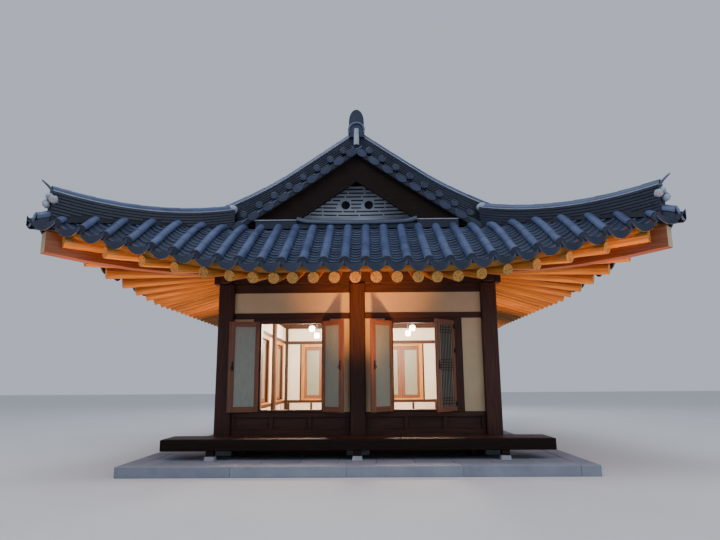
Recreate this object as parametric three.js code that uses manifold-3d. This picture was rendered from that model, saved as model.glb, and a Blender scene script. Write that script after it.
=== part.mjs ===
// A hanok: a timber house of two by three bays under a curved hip-and-gable roof of fired tiles.
// Units are millimetres and +Z is up. The front faces -Y, and the origin is at ground level in mid-plan.
// Each of the four sides is modelled as if it were the front and then turned into its place.
import * as THREE from "three";
import { mergeVertices } from "three/addons/utils/BufferGeometryUtils.js";
import Module from "manifold-3d";

const wasm = await Module();
wasm.setup();

// Driving dimensions: the grid of columns
const bay = 2400;
const halfWidth = bay;
const halfDepth = 1.5 * bay;
const columnSide = 280;
const gap = 0.3;

// Heights above the ground
const platformTop = 162;
const floorTop = 487;
const sillTop = 876;
const windowBottom = 915;
const windowTop = 2455;
const lintelBottom = 2540;
const lintelTop = 2646;
const panelTop = 3022;
const beamTop = 3187;

// Stone platform and timber porch
const platformSide = 1247;
const platformFront = 1398;
const baseStoneSide = 400;
const baseStoneHeight = 110;
const floorThickness = 45;
const floorInset = 75;
const joistWidth = 130;
const porchReach = 719;
const porchSide = 820;
const porchBeamHeight = 180;
const porchBeamWidth = 140;
const porchLegSide = 130;
const padSide = 190;
const padHeight = 60;

// Walls
const wallThickness = 120;
const plasterThickness = 90;
const railHeight = 90;
const stileWidth = 70;
const jambWidth = 150;
const openingWidth = 1100;
const wainscotPanelThickness = 40;
const leafWidth = 540;
const leafThickness = 36;
const leafOverlap = 32;
const hingePinRadius = 10;
const hingePinOffset = 18;
const hingeHeight = 80;
const hingePlaces = [0.08, 0.66, 0.93];
const hingeStrap = 60;
const hingeStrapThickness = 6;

// Roof surface, measured outwards from a column line: mid-height of the tiles
const surfaceAtWall = 4295;
const pitchAtWall = 0.6283;
const hollowing = 1.684e-5;
const shellDepth = 165;
const boardThickness = 35;
const eaveReach = 1780;
const cornerReach = 2430;
const planCurveStart = -1600;
const liftStart = -1100;
const cornerLift = 965;
const liftPower = 1.636;
const liftRampStart = 100;
const liftFullness = 0.4;
const tileOverhang = 120;
const vergeReach = 100;

// Tiles: rows of half-round cover tiles over a bed of concave ones
const tilePitch = 330;
const bedDrop = 35;
const coverRise = 68;
const coverFoot = 77;
const coverCrown = 42;
const coverNose = 15;
const coverClearance = 190;
const shortestCover = 150;

// Rafters
const rafterRadius = 90;
const rafterPitch = 325;
const rafterSides = 6;
const rafterTopAtWall = 3617;
const ringInset = 1450;
const fanRafters = 8;
const fanStart = -1410;
const fanEnd = 2000;
const fanGrowth = 1.1;
const fanRoot = 100;
const fanRootRadius = 60;
const boardSink = 5;
const hipRafterWidth = 200;
const hipRafterLow = 3246;
const hipRafterLowAt = 1300;
const hipRafterBend = 7.5e-5;
const hipRafterEase = 18;

// Plates, ring and cross beams
const beamWidth = 120;
const purlinWidth = 180;
const purlinEnd = 250;
const ringWidth = 150;
const ringHeight = 200;
const ceilingThickness = 30;
const crossBeamWidth = 240;
const crossBeamTop = 3400;
const postSide = 160;

// Gables
const gableFace = -460;
const gableThickness = 80;
const gableFootHalfWidth = 1600;
const ventRadius = 85;
const ventSpacing = 460;
const ventHeight = 4867;
const bargeOuter = 20;
const bargeThickness = 60;
const bargeDepth = 540;
const apronClearance = 260;
const apronCoverLimit = 1300;

// Ridges
const ridgeWidth = 240;
const ridgeCapWidth = 170;
const ridgeHeight = 455;
const peakRidgeHeight = 400;
const ridgeCapHeight = 75;
const vergeRidgeOuter = -60;
const ridgeJunction = 99;
const hipRidgeEnd = 2225;
const hipRidgeLow = 4340;
const hipRidgeLowAt = 1700;
const hipRidgeBend = 1.42e-4;
const mainRidgeWidth = 300;
const mainRidgeEndTop = 6430;
const mainRidgeSag = 90;
const mainRidgeHalfLength = 3600;
const endTileTop = 6710;
const endTileWidth = 290;
const endTileThickness = 70;

// Colours
const woodColour = 0x4a2c20;
const pineColour = 0xb5793f;
const plasterColour = 0xd9c9a3;
const tileColour = 0x3d4657;
const stoneColour = 0x8f949c;

function finish(colour, roughness) {
  return new THREE.MeshStandardMaterial({ color: colour, roughness, metalness: 0 });
}

function named(name, geometry, colour, roughness = 0.8) {
  const mesh = new THREE.Mesh(geometry, finish(colour, roughness));
  mesh.name = name;
  return mesh;
}

// Solids and how they are joined

function toSolid(geometry) {
  const bare = geometry.clone();
  bare.deleteAttribute("normal");
  bare.deleteAttribute("uv");
  const merged = mergeVertices(bare, 1e-3);
  return new wasm.Manifold(
    new wasm.Mesh({
      numProp: 3,
      vertProperties: merged.attributes.position.array,
      triVerts: new Uint32Array(merged.index.array),
    }),
  );
}

function toGeometry(solid) {
  const mesh = solid.getMesh();
  const geometry = new THREE.BufferGeometry();
  geometry.setAttribute("position", new THREE.BufferAttribute(mesh.vertProperties, 3));
  geometry.setIndex(new THREE.BufferAttribute(mesh.triVerts, 1));
  geometry.computeVertexNormals();
  return geometry;
}

function joined(geometries) {
  return geometries.map(toSolid).reduce((sum, part) => sum.add(part));
}

// Box between two opposite corners.
function box(x0, y0, z0, x1, y1, z1) {
  const geometry = new THREE.BoxGeometry(x1 - x0, y1 - y0, z1 - z0);
  geometry.translate((x0 + x1) / 2, (y0 + y1) / 2, (z0 + z1) / 2);
  return geometry;
}

// Upright outline of [x, z] points, given thickness from y0 to y1.
function upright(points, y0, y1, holes = []) {
  const shape = new THREE.Shape(points.map(([x, z]) => new THREE.Vector2(x, z)));
  for (const [x, z, radius] of holes) {
    const hole = new THREE.Path();
    hole.absarc(x, z, radius, 0, 2 * Math.PI, true);
    shape.holes.push(hole);
  }
  const geometry = new THREE.ExtrudeGeometry(shape, {
    depth: y1 - y0,
    bevelEnabled: false,
    curveSegments: 10,
  });
  geometry.rotateX(Math.PI / 2);
  geometry.translate(0, y1, 0);
  return geometry;
}

// Closed body between a grid of upper points and a grid of lower points of the same size.
function shell(upper, lower) {
  const rows = upper.length;
  const columns = upper[0].length;
  const positions = [...upper.flat(), ...lower.flat()].flat();
  const index = (layer, row, column) => (layer * rows + row) * columns + column;
  const faces = [];
  const quad = (a, b, c, d) => faces.push(a, b, c, a, c, d);
  for (let row = 0; row + 1 < rows; row++) {
    for (let column = 0; column + 1 < columns; column++) {
      const corners = [[row, column], [row + 1, column], [row + 1, column + 1], [row, column + 1]];
      quad(...corners.map(([i, j]) => index(0, i, j)));
      quad(...corners.reverse().map(([i, j]) => index(1, i, j)));
    }
    quad(index(0, row, 0), index(1, row, 0), index(1, row + 1, 0), index(0, row + 1, 0));
    const last = columns - 1;
    quad(index(0, row + 1, last), index(1, row + 1, last), index(1, row, last), index(0, row, last));
  }
  for (let column = 0; column + 1 < columns; column++) {
    const end = rows - 1;
    quad(index(0, 0, column + 1), index(1, 0, column + 1), index(1, 0, column), index(0, 0, column));
    quad(
      index(0, end, column),
      index(1, end, column),
      index(1, end, column + 1),
      index(0, end, column + 1),
    );
  }
  const geometry = new THREE.BufferGeometry();
  geometry.setAttribute("position", new THREE.Float32BufferAttribute(positions, 3));
  geometry.setIndex(faces);
  return geometry;
}

// Round log from one point to another. The section at the start may be narrower from side to side.
function log(from, to, radius, startWidth = radius) {
  const axis = new THREE.Vector3().subVectors(to, from);
  const geometry = new THREE.CylinderGeometry(radius, radius, axis.length(), rafterSides);
  const position = geometry.attributes.position;
  for (let i = 0; i < position.count; i++) {
    if (position.getY(i) < 0) position.setX(i, (position.getX(i) * startWidth) / radius);
  }
  const along = axis.clone().normalize();
  const side = new THREE.Vector3().crossVectors(along, new THREE.Vector3(0, 0, 1)).normalize();
  const up = new THREE.Vector3().crossVectors(side, along);
  const middle = new THREE.Vector3().addVectors(from, to).multiplyScalar(0.5);
  const placed = new THREE.Matrix4().makeBasis(side, along, up).setPosition(middle);
  return geometry.applyMatrix4(placed);
}

// The curved roof surface. "out" is the distance out from the column line of a side, and "past" is
// the distance along that side past its corner column, so both are negative within the plan.

function slopeHeight(out) {
  return surfaceAtWall - pitchAtWall * out + hollowing * out * out;
}

// Where the line of a fanned rafter that passes under a point meets the line of the rafter tips.
function fanTip(past, out) {
  let tip = past;
  if (out >= eaveLine(past) - tileOverhang) return tip;
  for (let step = 0; step < 20; step++) {
    const length = eaveLine(tip) - tileOverhang + ringInset;
    tip = ((past + ringInset) * length) / (out + ringInset) - ringInset;
  }
  return tip;
}

function surfaceHeight(past, out) {
  if (out <= liftRampStart) return slopeHeight(out);
  const tip = fanTip(past, out);
  const reach = Math.max(0, (tip - liftStart) / (cornerReach - liftStart));
  const ramp = Math.min(1, (out - liftRampStart) / (eaveLine(tip) - tileOverhang - liftRampStart));
  return slopeHeight(out) + cornerLift * reach ** liftPower * ramp * (1 + liftFullness * (1 - ramp));
}

function eaveLine(past) {
  const share = Math.max(0, (past - planCurveStart) / (cornerReach - planCurveStart));
  return eaveReach + (cornerReach - eaveReach) * share ** 2;
}

function rafterTipHeight(past) {
  return surfaceHeight(past, eaveLine(past) - tileOverhang) - shellDepth - boardThickness + boardSink;
}

// The straight rafters rise in one line from their tips over the wall to the inner ring.
const rafterSlope = (rafterTopAtWall - rafterTipHeight(-halfDepth)) / (eaveReach - tileOverhang);
const rafterTopAtRing = rafterTopAtWall + rafterSlope * ringInset;
const rafterDepth = rafterRadius * (1 + Math.hypot(1, rafterSlope));
const purlinTop = rafterTopAtWall - (rafterSlope * purlinWidth) / 2 - rafterDepth - gap;
const ringTop = rafterTopAtRing - (rafterSlope * ringWidth) / 2 - rafterDepth - gap;

// Where the line of the rafter tips meets the diagonal of the plan.
function cornerTip() {
  let past = cornerReach;
  for (let step = 0; step < 30; step++) past = eaveLine(past) - tileOverhang;
  return past;
}

// Rafter lines of one side, from the middle outwards, as the tip's distance past the corner column.
function rafterTips(halfLength) {
  const tips = [];
  const run = halfLength + fanStart;
  const straight = Math.round(run / rafterPitch);
  for (let i = 0; i <= straight; i++) tips.push((i * run) / straight - halfLength);
  for (let i = 1; i <= fanRafters; i++) {
    const share = (fanGrowth ** i - 1) / (fanGrowth ** fanRafters - 1);
    tips.push(THREE.MathUtils.lerp(fanStart, fanEnd, share));
  }
  return tips;
}

// One rafter line: the places of its tip, wall crossing and inner end, as [past, out, top height].
function rafterLine(tip, halfLength) {
  const tipOut = eaveLine(tip) - tileOverhang;
  const fan = tip > fanStart;
  const share = ringInset / (ringInset + tipOut);
  const wall = fan ? -ringInset + share * (tip + ringInset) : tip;
  const fanShare = (tip - fanStart) / (cornerTip() - fanStart);
  const ring = fan ? fanStart + fanShare * (-ringInset - fanStart) : tip;
  return {
    fan,
    tip: [tip + halfLength, tipOut, rafterTipHeight(tip)],
    wall: [wall + halfLength, 0, rafterTopAtWall],
    ring: [ring + halfLength, -ringInset, rafterTopAtRing],
  };
}

// Point of a side: x along it, y outwards to the front.
function sidePoint(along, out, height, depth) {
  return [along, -(depth + out), height];
}

function mirrored(items) {
  return [...items.map((item) => ({ ...item, flip: -1 })).reverse(), ...items];
}

function eavesSide(name, halfLength, depth) {
  const lines = rafterTips(halfLength).map((tip) => rafterLine(tip, halfLength));
  const corner = rafterLine(cornerTip(), halfLength);
  const edges = lines.filter(({ tip }) => tip[0] - halfLength > fanStart - 1);
  const boardLines = mirrored([...edges, corner]);
  const grid = (rise) =>
    ["ring", "wall", "tip"].map((row) =>
      boardLines.map(({ flip = 1, [row]: [along, out, top] }) =>
        sidePoint(flip * along, out, top + rise, depth),
      ),
    );
  let solid = toSolid(shell(grid(boardThickness - boardSink), grid(-boardSink)));
  for (const line of mirrored(lines)) {
    const isRepeat = line.flip < 0 && line.tip[0] === 0;
    if (!isRepeat) solid = solid.add(toSolid(rafter(line, depth)));
  }
  for (const flip of [-1, 1]) {
    solid = solid.subtract(toSolid(hipSlot(flip, halfLength, depth)));
  }
  return named(name, toGeometry(solid), pineColour, 0.6);
}

function rafter({ fan, flip = 1, tip, wall, ring }, depth) {
  const place = ([along, out, top]) =>
    new THREE.Vector3(...sidePoint(flip * along, out, top - rafterRadius, depth));
  if (!fan) return log(place(ring), place(tip), rafterRadius);
  const tipPlace = place(tip);
  const rootShare = -fanRoot / tip[1];
  const root = place(wall).lerp(tipPlace, rootShare);
  return log(root, tipPlace, rafterRadius, fanRootRadius);
}

// The room that the hip rafter takes at a corner, a slab along the diagonal.
function hipSlot(flip, halfLength, depth) {
  const halfSlot = hipRafterWidth / 2 + gap;
  const slot = box(-2 * ringInset, -halfSlot, 0, 2 * cornerReach, halfSlot, 2 * surfaceAtWall);
  slot.rotateZ(-Math.PI / 4);
  if (flip < 0) slot.rotateZ(-Math.PI / 2);
  slot.translate(flip * halfLength, -depth, 0);
  return slot;
}

// Tiled slopes

// A slope bends only over the fanned rafters.
function tipColumns(halfLength) {
  const tips = [...rafterTips(halfLength), cornerTip()];
  return mirrored(tips.filter((tip) => tip > fanStart - 1).map((tip) => ({ tip })));
}

const eaveShares = [0, 0.3, 0.6, 0.85, 1];
const hipOuts = eaveShares.map((share) => THREE.MathUtils.lerp(vergeReach, cornerReach, share));
const ridgeRows = [-halfWidth, -1640, -880, vergeReach];

// Height along a line of [place, height] points.
function heightOn(line, place) {
  const next = Math.max(1, line.findIndex(([end]) => end >= place));
  const [[low, from], [high, to]] = [line[next - 1], line[next]];
  return THREE.MathUtils.lerp(from, to, (place - low) / (high - low));
}

// Height of the faceted main slope at a distance out from the column line.
function facetedHeight(out) {
  return heightOn(ridgeRows.map((row) => [row, slopeHeight(row)]), out);
}

// Height of the strip of an end slope that runs back to the foot of its gable.
function apronHeight(out) {
  return heightOn([gableFace, vergeReach].map((row) => [row, slopeHeight(row)]), out);
}

// Height of the faceted line where two slopes meet over a hip.
function hipHeight(out) {
  return heightOn(hipOuts.map((row) => [row, surfaceHeight(row, row)]), out);
}

// Triangles between two lines of points that run side by side. Both lines are walked by a growing key.
function zip(first, second, key) {
  const triangles = [];
  let i = 0;
  let j = 0;
  while (i + 1 < first.length || j + 1 < second.length) {
    const onFirst = i + 1 < first.length;
    const onSecond = j + 1 < second.length;
    if (onFirst && (!onSecond || key(first[i + 1]) <= key(second[j + 1]))) {
      triangles.push([first[i], second[j], first[i + 1]]);
      i += 1;
    } else {
      triangles.push([first[i], second[j], second[j + 1]]);
      j += 1;
    }
  }
  return triangles;
}

function mirroredPoints(points) {
  return points.map(([along, out, height]) => [-along, out, height]);
}

// How far out a row of cover tiles starts, clear of the ridges and of the foot of the gable.
function coverStart(centre, { halfLength, crestStart, crestLimit }) {
  if (centre + coverFoot < crestLimit) return crestStart;
  const hipSide = centre + coverFoot - halfLength + coverClearance;
  return Math.max(hipSide, vergeReach + coverNose + 5);
}

function coverCentre(along) {
  return (Math.floor(along / tilePitch) + 0.5) * tilePitch;
}

// Height of the tiles over the roof surface, by the distance from the middle of a cover tile.
function coverLift(offset) {
  const share = (coverFoot - Math.abs(offset)) / (coverFoot - coverCrown);
  return THREE.MathUtils.lerp(-bedDrop, coverRise, THREE.MathUtils.clamp(share, 0, 1));
}

// Places of the lines that a slope is drawn on, from its middle out: four for each row of cover tiles.
function slopePlaces(slope) {
  const { halfLength, shoulder } = slope;
  const places = [shoulder, ...hipOuts.slice(0, -1).map((out) => halfLength + out - gap)];
  let centre = tilePitch / 2;
  while (coverStart(centre, slope) + shortestCover < eaveLine(centre - halfLength)) {
    for (const offset of [-coverFoot, -coverCrown, coverCrown, coverFoot]) places.push(centre + offset);
    centre += tilePitch;
  }
  const lastPlace = centre - tilePitch + coverFoot;
  return {
    lastPlace,
    places: [...new Set(places)].sort((a, b) => a - b),
  };
}

// Points of one line down a slope, from the verge or the hip to the eave.
function eaveColumn(along, slope, lastPlace) {
  const past = along - slope.halfLength;
  const top = Math.max(vergeReach, past + gap);
  const centre = coverCentre(along);
  const start = coverStart(centre, slope);
  const isCover = along <= lastPlace && Math.abs(along - centre) < coverFoot + 1;
  const lift = isCover ? coverLift(along - centre) : -bedDrop;
  const outs = eaveShares.slice(1).map((share) => THREE.MathUtils.lerp(top, eaveLine(past), share));
  const topHeight = past > vergeReach ? hipHeight(top) : slopeHeight(top);
  const startsLower = isCover && start > vergeReach;
  const rows = [[along, top, topHeight + (startsLower ? -bedDrop : lift)]];
  if (startsLower) {
    const nose = start - coverNose;
    rows.push([along, nose, surfaceHeight(past, nose) - bedDrop]);
    rows.push([along, start, surfaceHeight(past, start) + lift]);
  }
  for (const out of outs) {
    if (!startsLower || out > start + coverNose) rows.push([along, out, surfaceHeight(past, out) + lift]);
  }
  return rows;
}

// Lines across the part of a slope that lies above its eaves, over the tile bed and the rows of cover tiles.
function crestRows(slope, top) {
  const { crestStart, crestLimit, crestOuts, crestHeight, edgeAt } = slope;
  const places = slopePlaces(slope).places.filter((along) => along < crestLimit);
  const row = (out, isBed) => {
    const right = places.map((along) => {
      const lift = isBed ? -bedDrop : coverLift(along - coverCentre(along));
      return [along, out, crestHeight(out) + lift];
    });
    right.push([edgeAt(out), out, crestHeight(out) - bedDrop]);
    return [...mirroredPoints(right).reverse(), ...right];
  };
  const end = [edgeAt(crestOuts[0]), crestOuts[0], crestHeight(crestOuts[0]) - bedDrop];
  const rows = [[...mirroredPoints([end]), end], row(crestStart - coverNose, true), row(crestStart, false)];
  for (const out of crestOuts.slice(1, -1)) rows.push(row(out, false));
  return [...rows, top];
}

// Underside of a slope, row by row from the top down to the eave.
function underRows({ halfLength, shoulder, crestOuts, crestHeight, edgeAt }) {
  const columns = tipColumns(halfLength);
  const end = cornerTip();
  const half = halfLength + vergeReach;
  const eaves = eaveShares.map((share) =>
    columns.map(({ tip, flip = 1 }) => {
      const inset = gap * (tip === end);
      if (share === 1) {
        const seat = rafterTipHeight(tip) + boardThickness - boardSink + gap;
        return [flip * (halfLength + tip - inset), eaveLine(tip) - tileOverhang, seat];
      }
      const eavePast = tip === end ? cornerReach : tip;
      const widthShare = (halfLength + tip) / (halfLength + end);
      const along = THREE.MathUtils.lerp(widthShare * half, halfLength + eavePast, share) - inset;
      const out = THREE.MathUtils.lerp(vergeReach, eaveLine(eavePast), share);
      return [flip * along, out, surfaceHeight(along - halfLength, out) - shellDepth];
    }),
  );
  const foot = slopeHeight(vergeReach) - shellDepth;
  for (const side of [-1, 1]) {
    if (!eaves[0].some(([along]) => Math.abs(along - side * shoulder) < 1)) {
      eaves[0].push([side * shoulder, vergeReach, foot]);
    }
  }
  eaves[0].sort(([a], [b]) => a - b);
  const inner = eaves[0].filter(([along]) => Math.abs(along) < shoulder + 1);
  const isNarrow = inner.length < eaves[0].length;
  const crest = crestOuts.slice(0, -1).map((out) => {
    const edge = [edgeAt(out), out, crestHeight(out) - shellDepth];
    if (isNarrow) return [...mirroredPoints([edge]), edge];
    return eaves[0].map(([along]) => [along, out, crestHeight(out) - shellDepth]);
  });
  return { crest: [...crest, inner], eaves };
}

// Closed body of a slope between its tiled face and its underside.
function tiledSlope(name, slope) {
  const { halfLength, depth, shoulder } = slope;
  const { places, lastPlace } = slopePlaces(slope);
  const corner = [
    halfLength + cornerReach - gap,
    cornerReach,
    surfaceHeight(cornerReach, cornerReach) - bedDrop,
  ];
  const right = [...places.map((along) => eaveColumn(along, slope, lastPlace)), [corner]];
  const columns = [...right.map(mirroredPoints).reverse(), ...right];
  const isInner = ([along]) => Math.abs(along) < shoulder + 1;
  const tops = columns.map((column) => column[0]);
  const crest = crestRows(slope, tops.filter(isInner));
  const under = underRows(slope);
  const byAlong = ([along]) => along;
  const triangles = [];
  const rightEdge = (rows, lineTops, lowerRows) => [
    ...rows.map((row) => row.at(-1)),
    ...lineTops.filter(([along]) => along > shoulder + 1),
    ...lowerRows.map((row) => row.at(-1)),
  ];
  const leftEdge = (rows, lineTops, lowerRows) => [
    ...rows.map((row) => row[0]),
    ...lineTops.filter(([along]) => along < -shoulder - 1).reverse(),
    ...lowerRows.map((row) => row[0]),
  ];
  const between = (rows, isFace) => {
    for (let i = 0; i + 1 < rows.length; i++) {
      const pair = isFace ? [rows[i], rows[i + 1]] : [rows[i + 1], rows[i]];
      triangles.push(...zip(...pair, byAlong));
    }
  };
  between(crest, true);
  between(under.crest, false);
  between(under.eaves, false);
  for (let i = 0; i + 1 < columns.length; i++) {
    triangles.push(...zip(columns[i + 1], columns[i], ([, out]) => out));
  }
  const reversed = (line) => [...line].reverse();
  const eaveFace = columns.map((column) => column.at(-1));
  const underTops = under.eaves[0];
  triangles.push(...zip(eaveFace, under.eaves.at(-1), byAlong));
  triangles.push(...zip(reversed(crest[0]), reversed(under.crest[0]), ([along]) => -along));
  triangles.push(
    ...zip(
      reversed(rightEdge(crest, tops, [])),
      reversed(rightEdge(under.crest, underTops, under.eaves.slice(1))),
      ([along, out]) => -along - out,
    ),
    ...zip(
      leftEdge(crest, tops, []),
      leftEdge(under.crest, underTops, under.eaves.slice(1)),
      ([along, out]) => out - along,
    ),
  );
  const positions = triangles.flat().flatMap((point) => sidePoint(...point, depth));
  const geometry = new THREE.BufferGeometry();
  geometry.setAttribute("position", new THREE.Float32BufferAttribute(positions, 3));
  return named(name, geometry, tileColour);
}

function mainSlope(name) {
  const edge = halfDepth + vergeReach - gap;
  return tiledSlope(name, {
    halfLength: halfDepth,
    depth: halfWidth,
    shoulder: edge,
    crestOuts: ridgeRows,
    crestHeight: facetedHeight,
    crestStart: mainRidgeWidth / 2 + 20 - halfWidth,
    crestLimit: halfDepth + vergeRidgeOuter - ridgeWidth,
    edgeAt: () => edge,
  });
}

function endSlope(name) {
  const edgeAt = (out) => halfWidth + out - apronClearance;
  return tiledSlope(name, {
    halfLength: halfWidth,
    depth: halfDepth,
    shoulder: edgeAt(vergeReach),
    crestOuts: [gableFace, vergeReach],
    crestHeight: apronHeight,
    crestStart: bargeOuter + coverNose + 5,
    crestLimit: apronCoverLimit,
    edgeAt,
  });
}

// Hip rafter, drawn along its own diagonal: x runs out from the corner column.
function hipRafter(name) {
  const diagonal = Math.SQRT2;
  const tip = cornerTip();
  const sideShare = hipRafterWidth / Math.SQRT2 / (tip - fanEnd);
  const tipTop = THREE.MathUtils.lerp(rafterTipHeight(tip), rafterTipHeight(fanEnd), sideShare);
  const top = tipTop + boardThickness - boardSink - hipRafterEase;
  const wallTop = rafterTopAtWall + boardThickness - boardSink;
  const seat = purlinTop + gap;
  const spread = hipRafterWidth / 2 / Math.SQRT2 + 5;
  const notch = purlinWidth / 2 + spread;
  const ringSeat = -ringInset + ringWidth / 2 + spread;
  const points = [
    [-ringInset, ringTop + gap],
    [ringSeat, ringTop + gap],
    [-notch, seat],
    [notch, seat],
  ];
  for (const out of [notch, 700, hipRafterLowAt, 1800, tip]) {
    points.push([out, hipRafterLow + hipRafterBend * (out - hipRafterLowAt) ** 2]);
  }
  points.push([tip, top], [0, wallTop], [-ringInset, wallTop + rafterSlope * ringInset]);
  const outline = points.map(([out, z]) => [out * diagonal, z]);
  return named(name, upright(outline, -hipRafterWidth / 2, hipRafterWidth / 2), pineColour, 0.6);
}

// Ridge of stacked tiles over a line of [x, surface, top] points, with a narrower cap.
function ridgeGeometries(line, y) {
  const band = (low, high, width) => {
    const outline = [...line.map(low), ...[...line].reverse().map(high)];
    return upright(outline, y - width / 2, y + width / 2);
  };
  const foot = ([x, z]) => [x, z - bedDrop + gap];
  const shoulder = ([x, , z]) => [x, z - ridgeCapHeight];
  const capFoot = ([x, , z]) => [x, z - ridgeCapHeight - 1];
  const top = ([x, , z]) => [x, z];
  return [band(foot, shoulder, ridgeWidth), band(capFoot, top, ridgeCapWidth)];
}

function hipRidgeTop(out) {
  return hipRidgeLow + hipRidgeBend * (out - hipRidgeLowAt) ** 2;
}

// Ridge over a hip, drawn along its own diagonal: x runs out from the corner column.
function hipRidge() {
  const line = [[0, facetedHeight(-vergeReach), facetedHeight(0) + ridgeHeight]];
  for (const out of [...hipOuts.slice(0, -1), hipRidgeEnd]) {
    line.push([out, hipHeight(out), hipRidgeTop(out)]);
  }
  return ridgeGeometries(line.map(([out, foot, top]) => [out * Math.SQRT2, foot, top]), 0);
}

// The two ridges down a gable, which run on as the ridges over the hips.
function endRidges(name) {
  const line = [];
  const outs = [...ridgeRows.slice(1, -1), ridgeJunction];
  const point = (side, out) => {
    const surface = facetedHeight(out);
    return [side * (halfWidth + out), surface, surface + ridgeHeight];
  };
  for (const out of [...outs].reverse()) line.push(point(-1, out));
  const peak = slopeHeight(-halfWidth);
  line.push([0, peak, peak + peakRidgeHeight]);
  for (const out of outs) line.push(point(1, out));
  const y = -(halfDepth + vergeRidgeOuter) + ridgeWidth / 2;
  const parts = ridgeGeometries(line, y);
  for (const side of [-1, 1]) {
    for (const geometry of hipRidge()) {
      geometry.rotateZ(Math.atan2(-1, side));
      geometry.translate(side * halfWidth, -halfDepth, 0);
      parts.push(geometry);
    }
  }
  return named(name, toGeometry(joined(parts)), tileColour);
}

// Main ridge between the two gable ridges, sagging towards its middle, with an upright tile at each end.
function mainRidge(name) {
  const inner = halfDepth + vergeRidgeOuter - ridgeWidth - gap;
  const outer = mainRidgeHalfLength;
  const half = mainRidgeWidth / 2;
  const peak = slopeHeight(-halfWidth);
  const foot = peak - bedDrop;
  const footDrop = peak - facetedHeight(-halfWidth + half);
  const steps = 12;
  const top = [];
  for (let i = 0; i <= steps; i++) {
    const y = THREE.MathUtils.lerp(outer, -outer, i / steps);
    top.push([y, mainRidgeEndTop - mainRidgeSag * (1 - (y / outer) ** 2)]);
  }
  const ridgeFoot = peak + peakRidgeHeight + gap;
  const body = upright(
    [[-outer, ridgeFoot], [outer, ridgeFoot], ...top],
    -half,
    half,
  );
  body.rotateZ(Math.PI / 2);
  const base = upright(
    [
      [-half, foot - footDrop + gap],
      [0, foot + gap],
      [half, foot - footDrop + gap],
      [half, ridgeFoot + 1],
      [-half, ridgeFoot + 1],
    ],
    -inner,
    inner,
  );
  const solids = [base, body];
  for (const side of [-1, 1]) {
    const tile = new THREE.Shape();
    const straight = endTileTop - endTileWidth / 2;
    tile.moveTo(-endTileWidth / 2, mainRidgeEndTop - 30);
    tile.lineTo(endTileWidth / 2, mainRidgeEndTop - 30);
    tile.lineTo(endTileWidth / 2, straight);
    tile.absarc(0, straight, endTileWidth / 2, 0, Math.PI, false);
    const dome = new THREE.ExtrudeGeometry(tile, {
      depth: endTileThickness,
      bevelEnabled: false,
      curveSegments: 8,
    });
    dome.rotateX(Math.PI / 2);
    const near = side > 0 ? outer : -outer + endTileThickness;
    dome.translate(0, near, 0);
    solids.push(dome);
  }
  return named(name, toGeometry(joined(solids)), tileColour);
}

// Gables

// Underside of the main slopes at a distance x from the middle.
function underSlope(x) {
  return facetedHeight(Math.abs(x) - halfWidth) - shellDepth - gap;
}

function slopeBreaks(limit) {
  const breaks = ridgeRows.map((out) => halfWidth + out).filter((x) => x > 0 && x < limit);
  return [-limit, ...breaks.map((x) => -x).reverse(), 0, ...breaks, limit];
}

function gableWall(name) {
  const limit = gableFootHalfWidth;
  const inner = gableFace - gableThickness - gap;
  const foot = rafterTopAtWall + boardThickness - boardSink - inner * rafterSlope + gap;
  const head = slopeBreaks(limit).reverse().map((x) => [x, underSlope(x)]);
  const outline = [[-limit, foot], [limit, foot], ...head];
  const vents = [-1, 1].map((side) => [(side * ventSpacing) / 2, ventHeight, ventRadius]);
  const face = -(halfDepth + gableFace - gap);
  return named(name, upright(outline, face, face + gableThickness, vents), plasterColour, 0.9);
}

function bargeboards(name) {
  const inner = bargeOuter - bargeThickness;
  const foot = apronHeight(inner) - bedDrop + gap;
  const reachOf = (drop) => {
    let x = 0;
    while (underSlope(x + 1) - drop > foot) x += 1;
    return x;
  };
  const outerEnd = reachOf(0);
  const innerEnd = reachOf(bargeDepth);
  const head = slopeBreaks(outerEnd).reverse().map((x) => [x, underSlope(x)]);
  const under = slopeBreaks(innerEnd).map((x) => [x, underSlope(x) - bargeDepth]);
  const face = -(halfDepth + bargeOuter);
  return named(name, upright([...head, ...under], face, face + bargeThickness), woodColour);
}

// Frame of columns, plates and beams

function column(name, x, y) {
  const half = columnSide / 2;
  const foot = platformTop + baseStoneHeight + gap;
  const top = beamTop - gap;
  return named(name, box(x - half, y - half, foot, x + half, y + half, top), woodColour, 0.6);
}

// Beams between the columns of each side, under purlins that pass over them and cross at the corners.
function wallPlates(name) {
  const half = columnSide / 2 + gap;
  const parts = [];
  for (const { turn, halfLength, depth, lines } of sides) {
    const end = halfLength + purlinEnd;
    const beams = [box(-end, -depth - purlinWidth / 2, beamTop, end, -depth + purlinWidth / 2, purlinTop)];
    for (const x of lines.slice(0, -1)) {
      const [near, far] = [x + half, x + bay - half];
      beams.push(box(near, -depth - beamWidth / 2, panelTop, far, -depth + beamWidth / 2, beamTop + 1));
    }
    parts.push(...beams.map((beam) => beam.rotateZ(turn)));
  }
  return named(name, toGeometry(joined(parts)), woodColour, 0.6);
}

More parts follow.
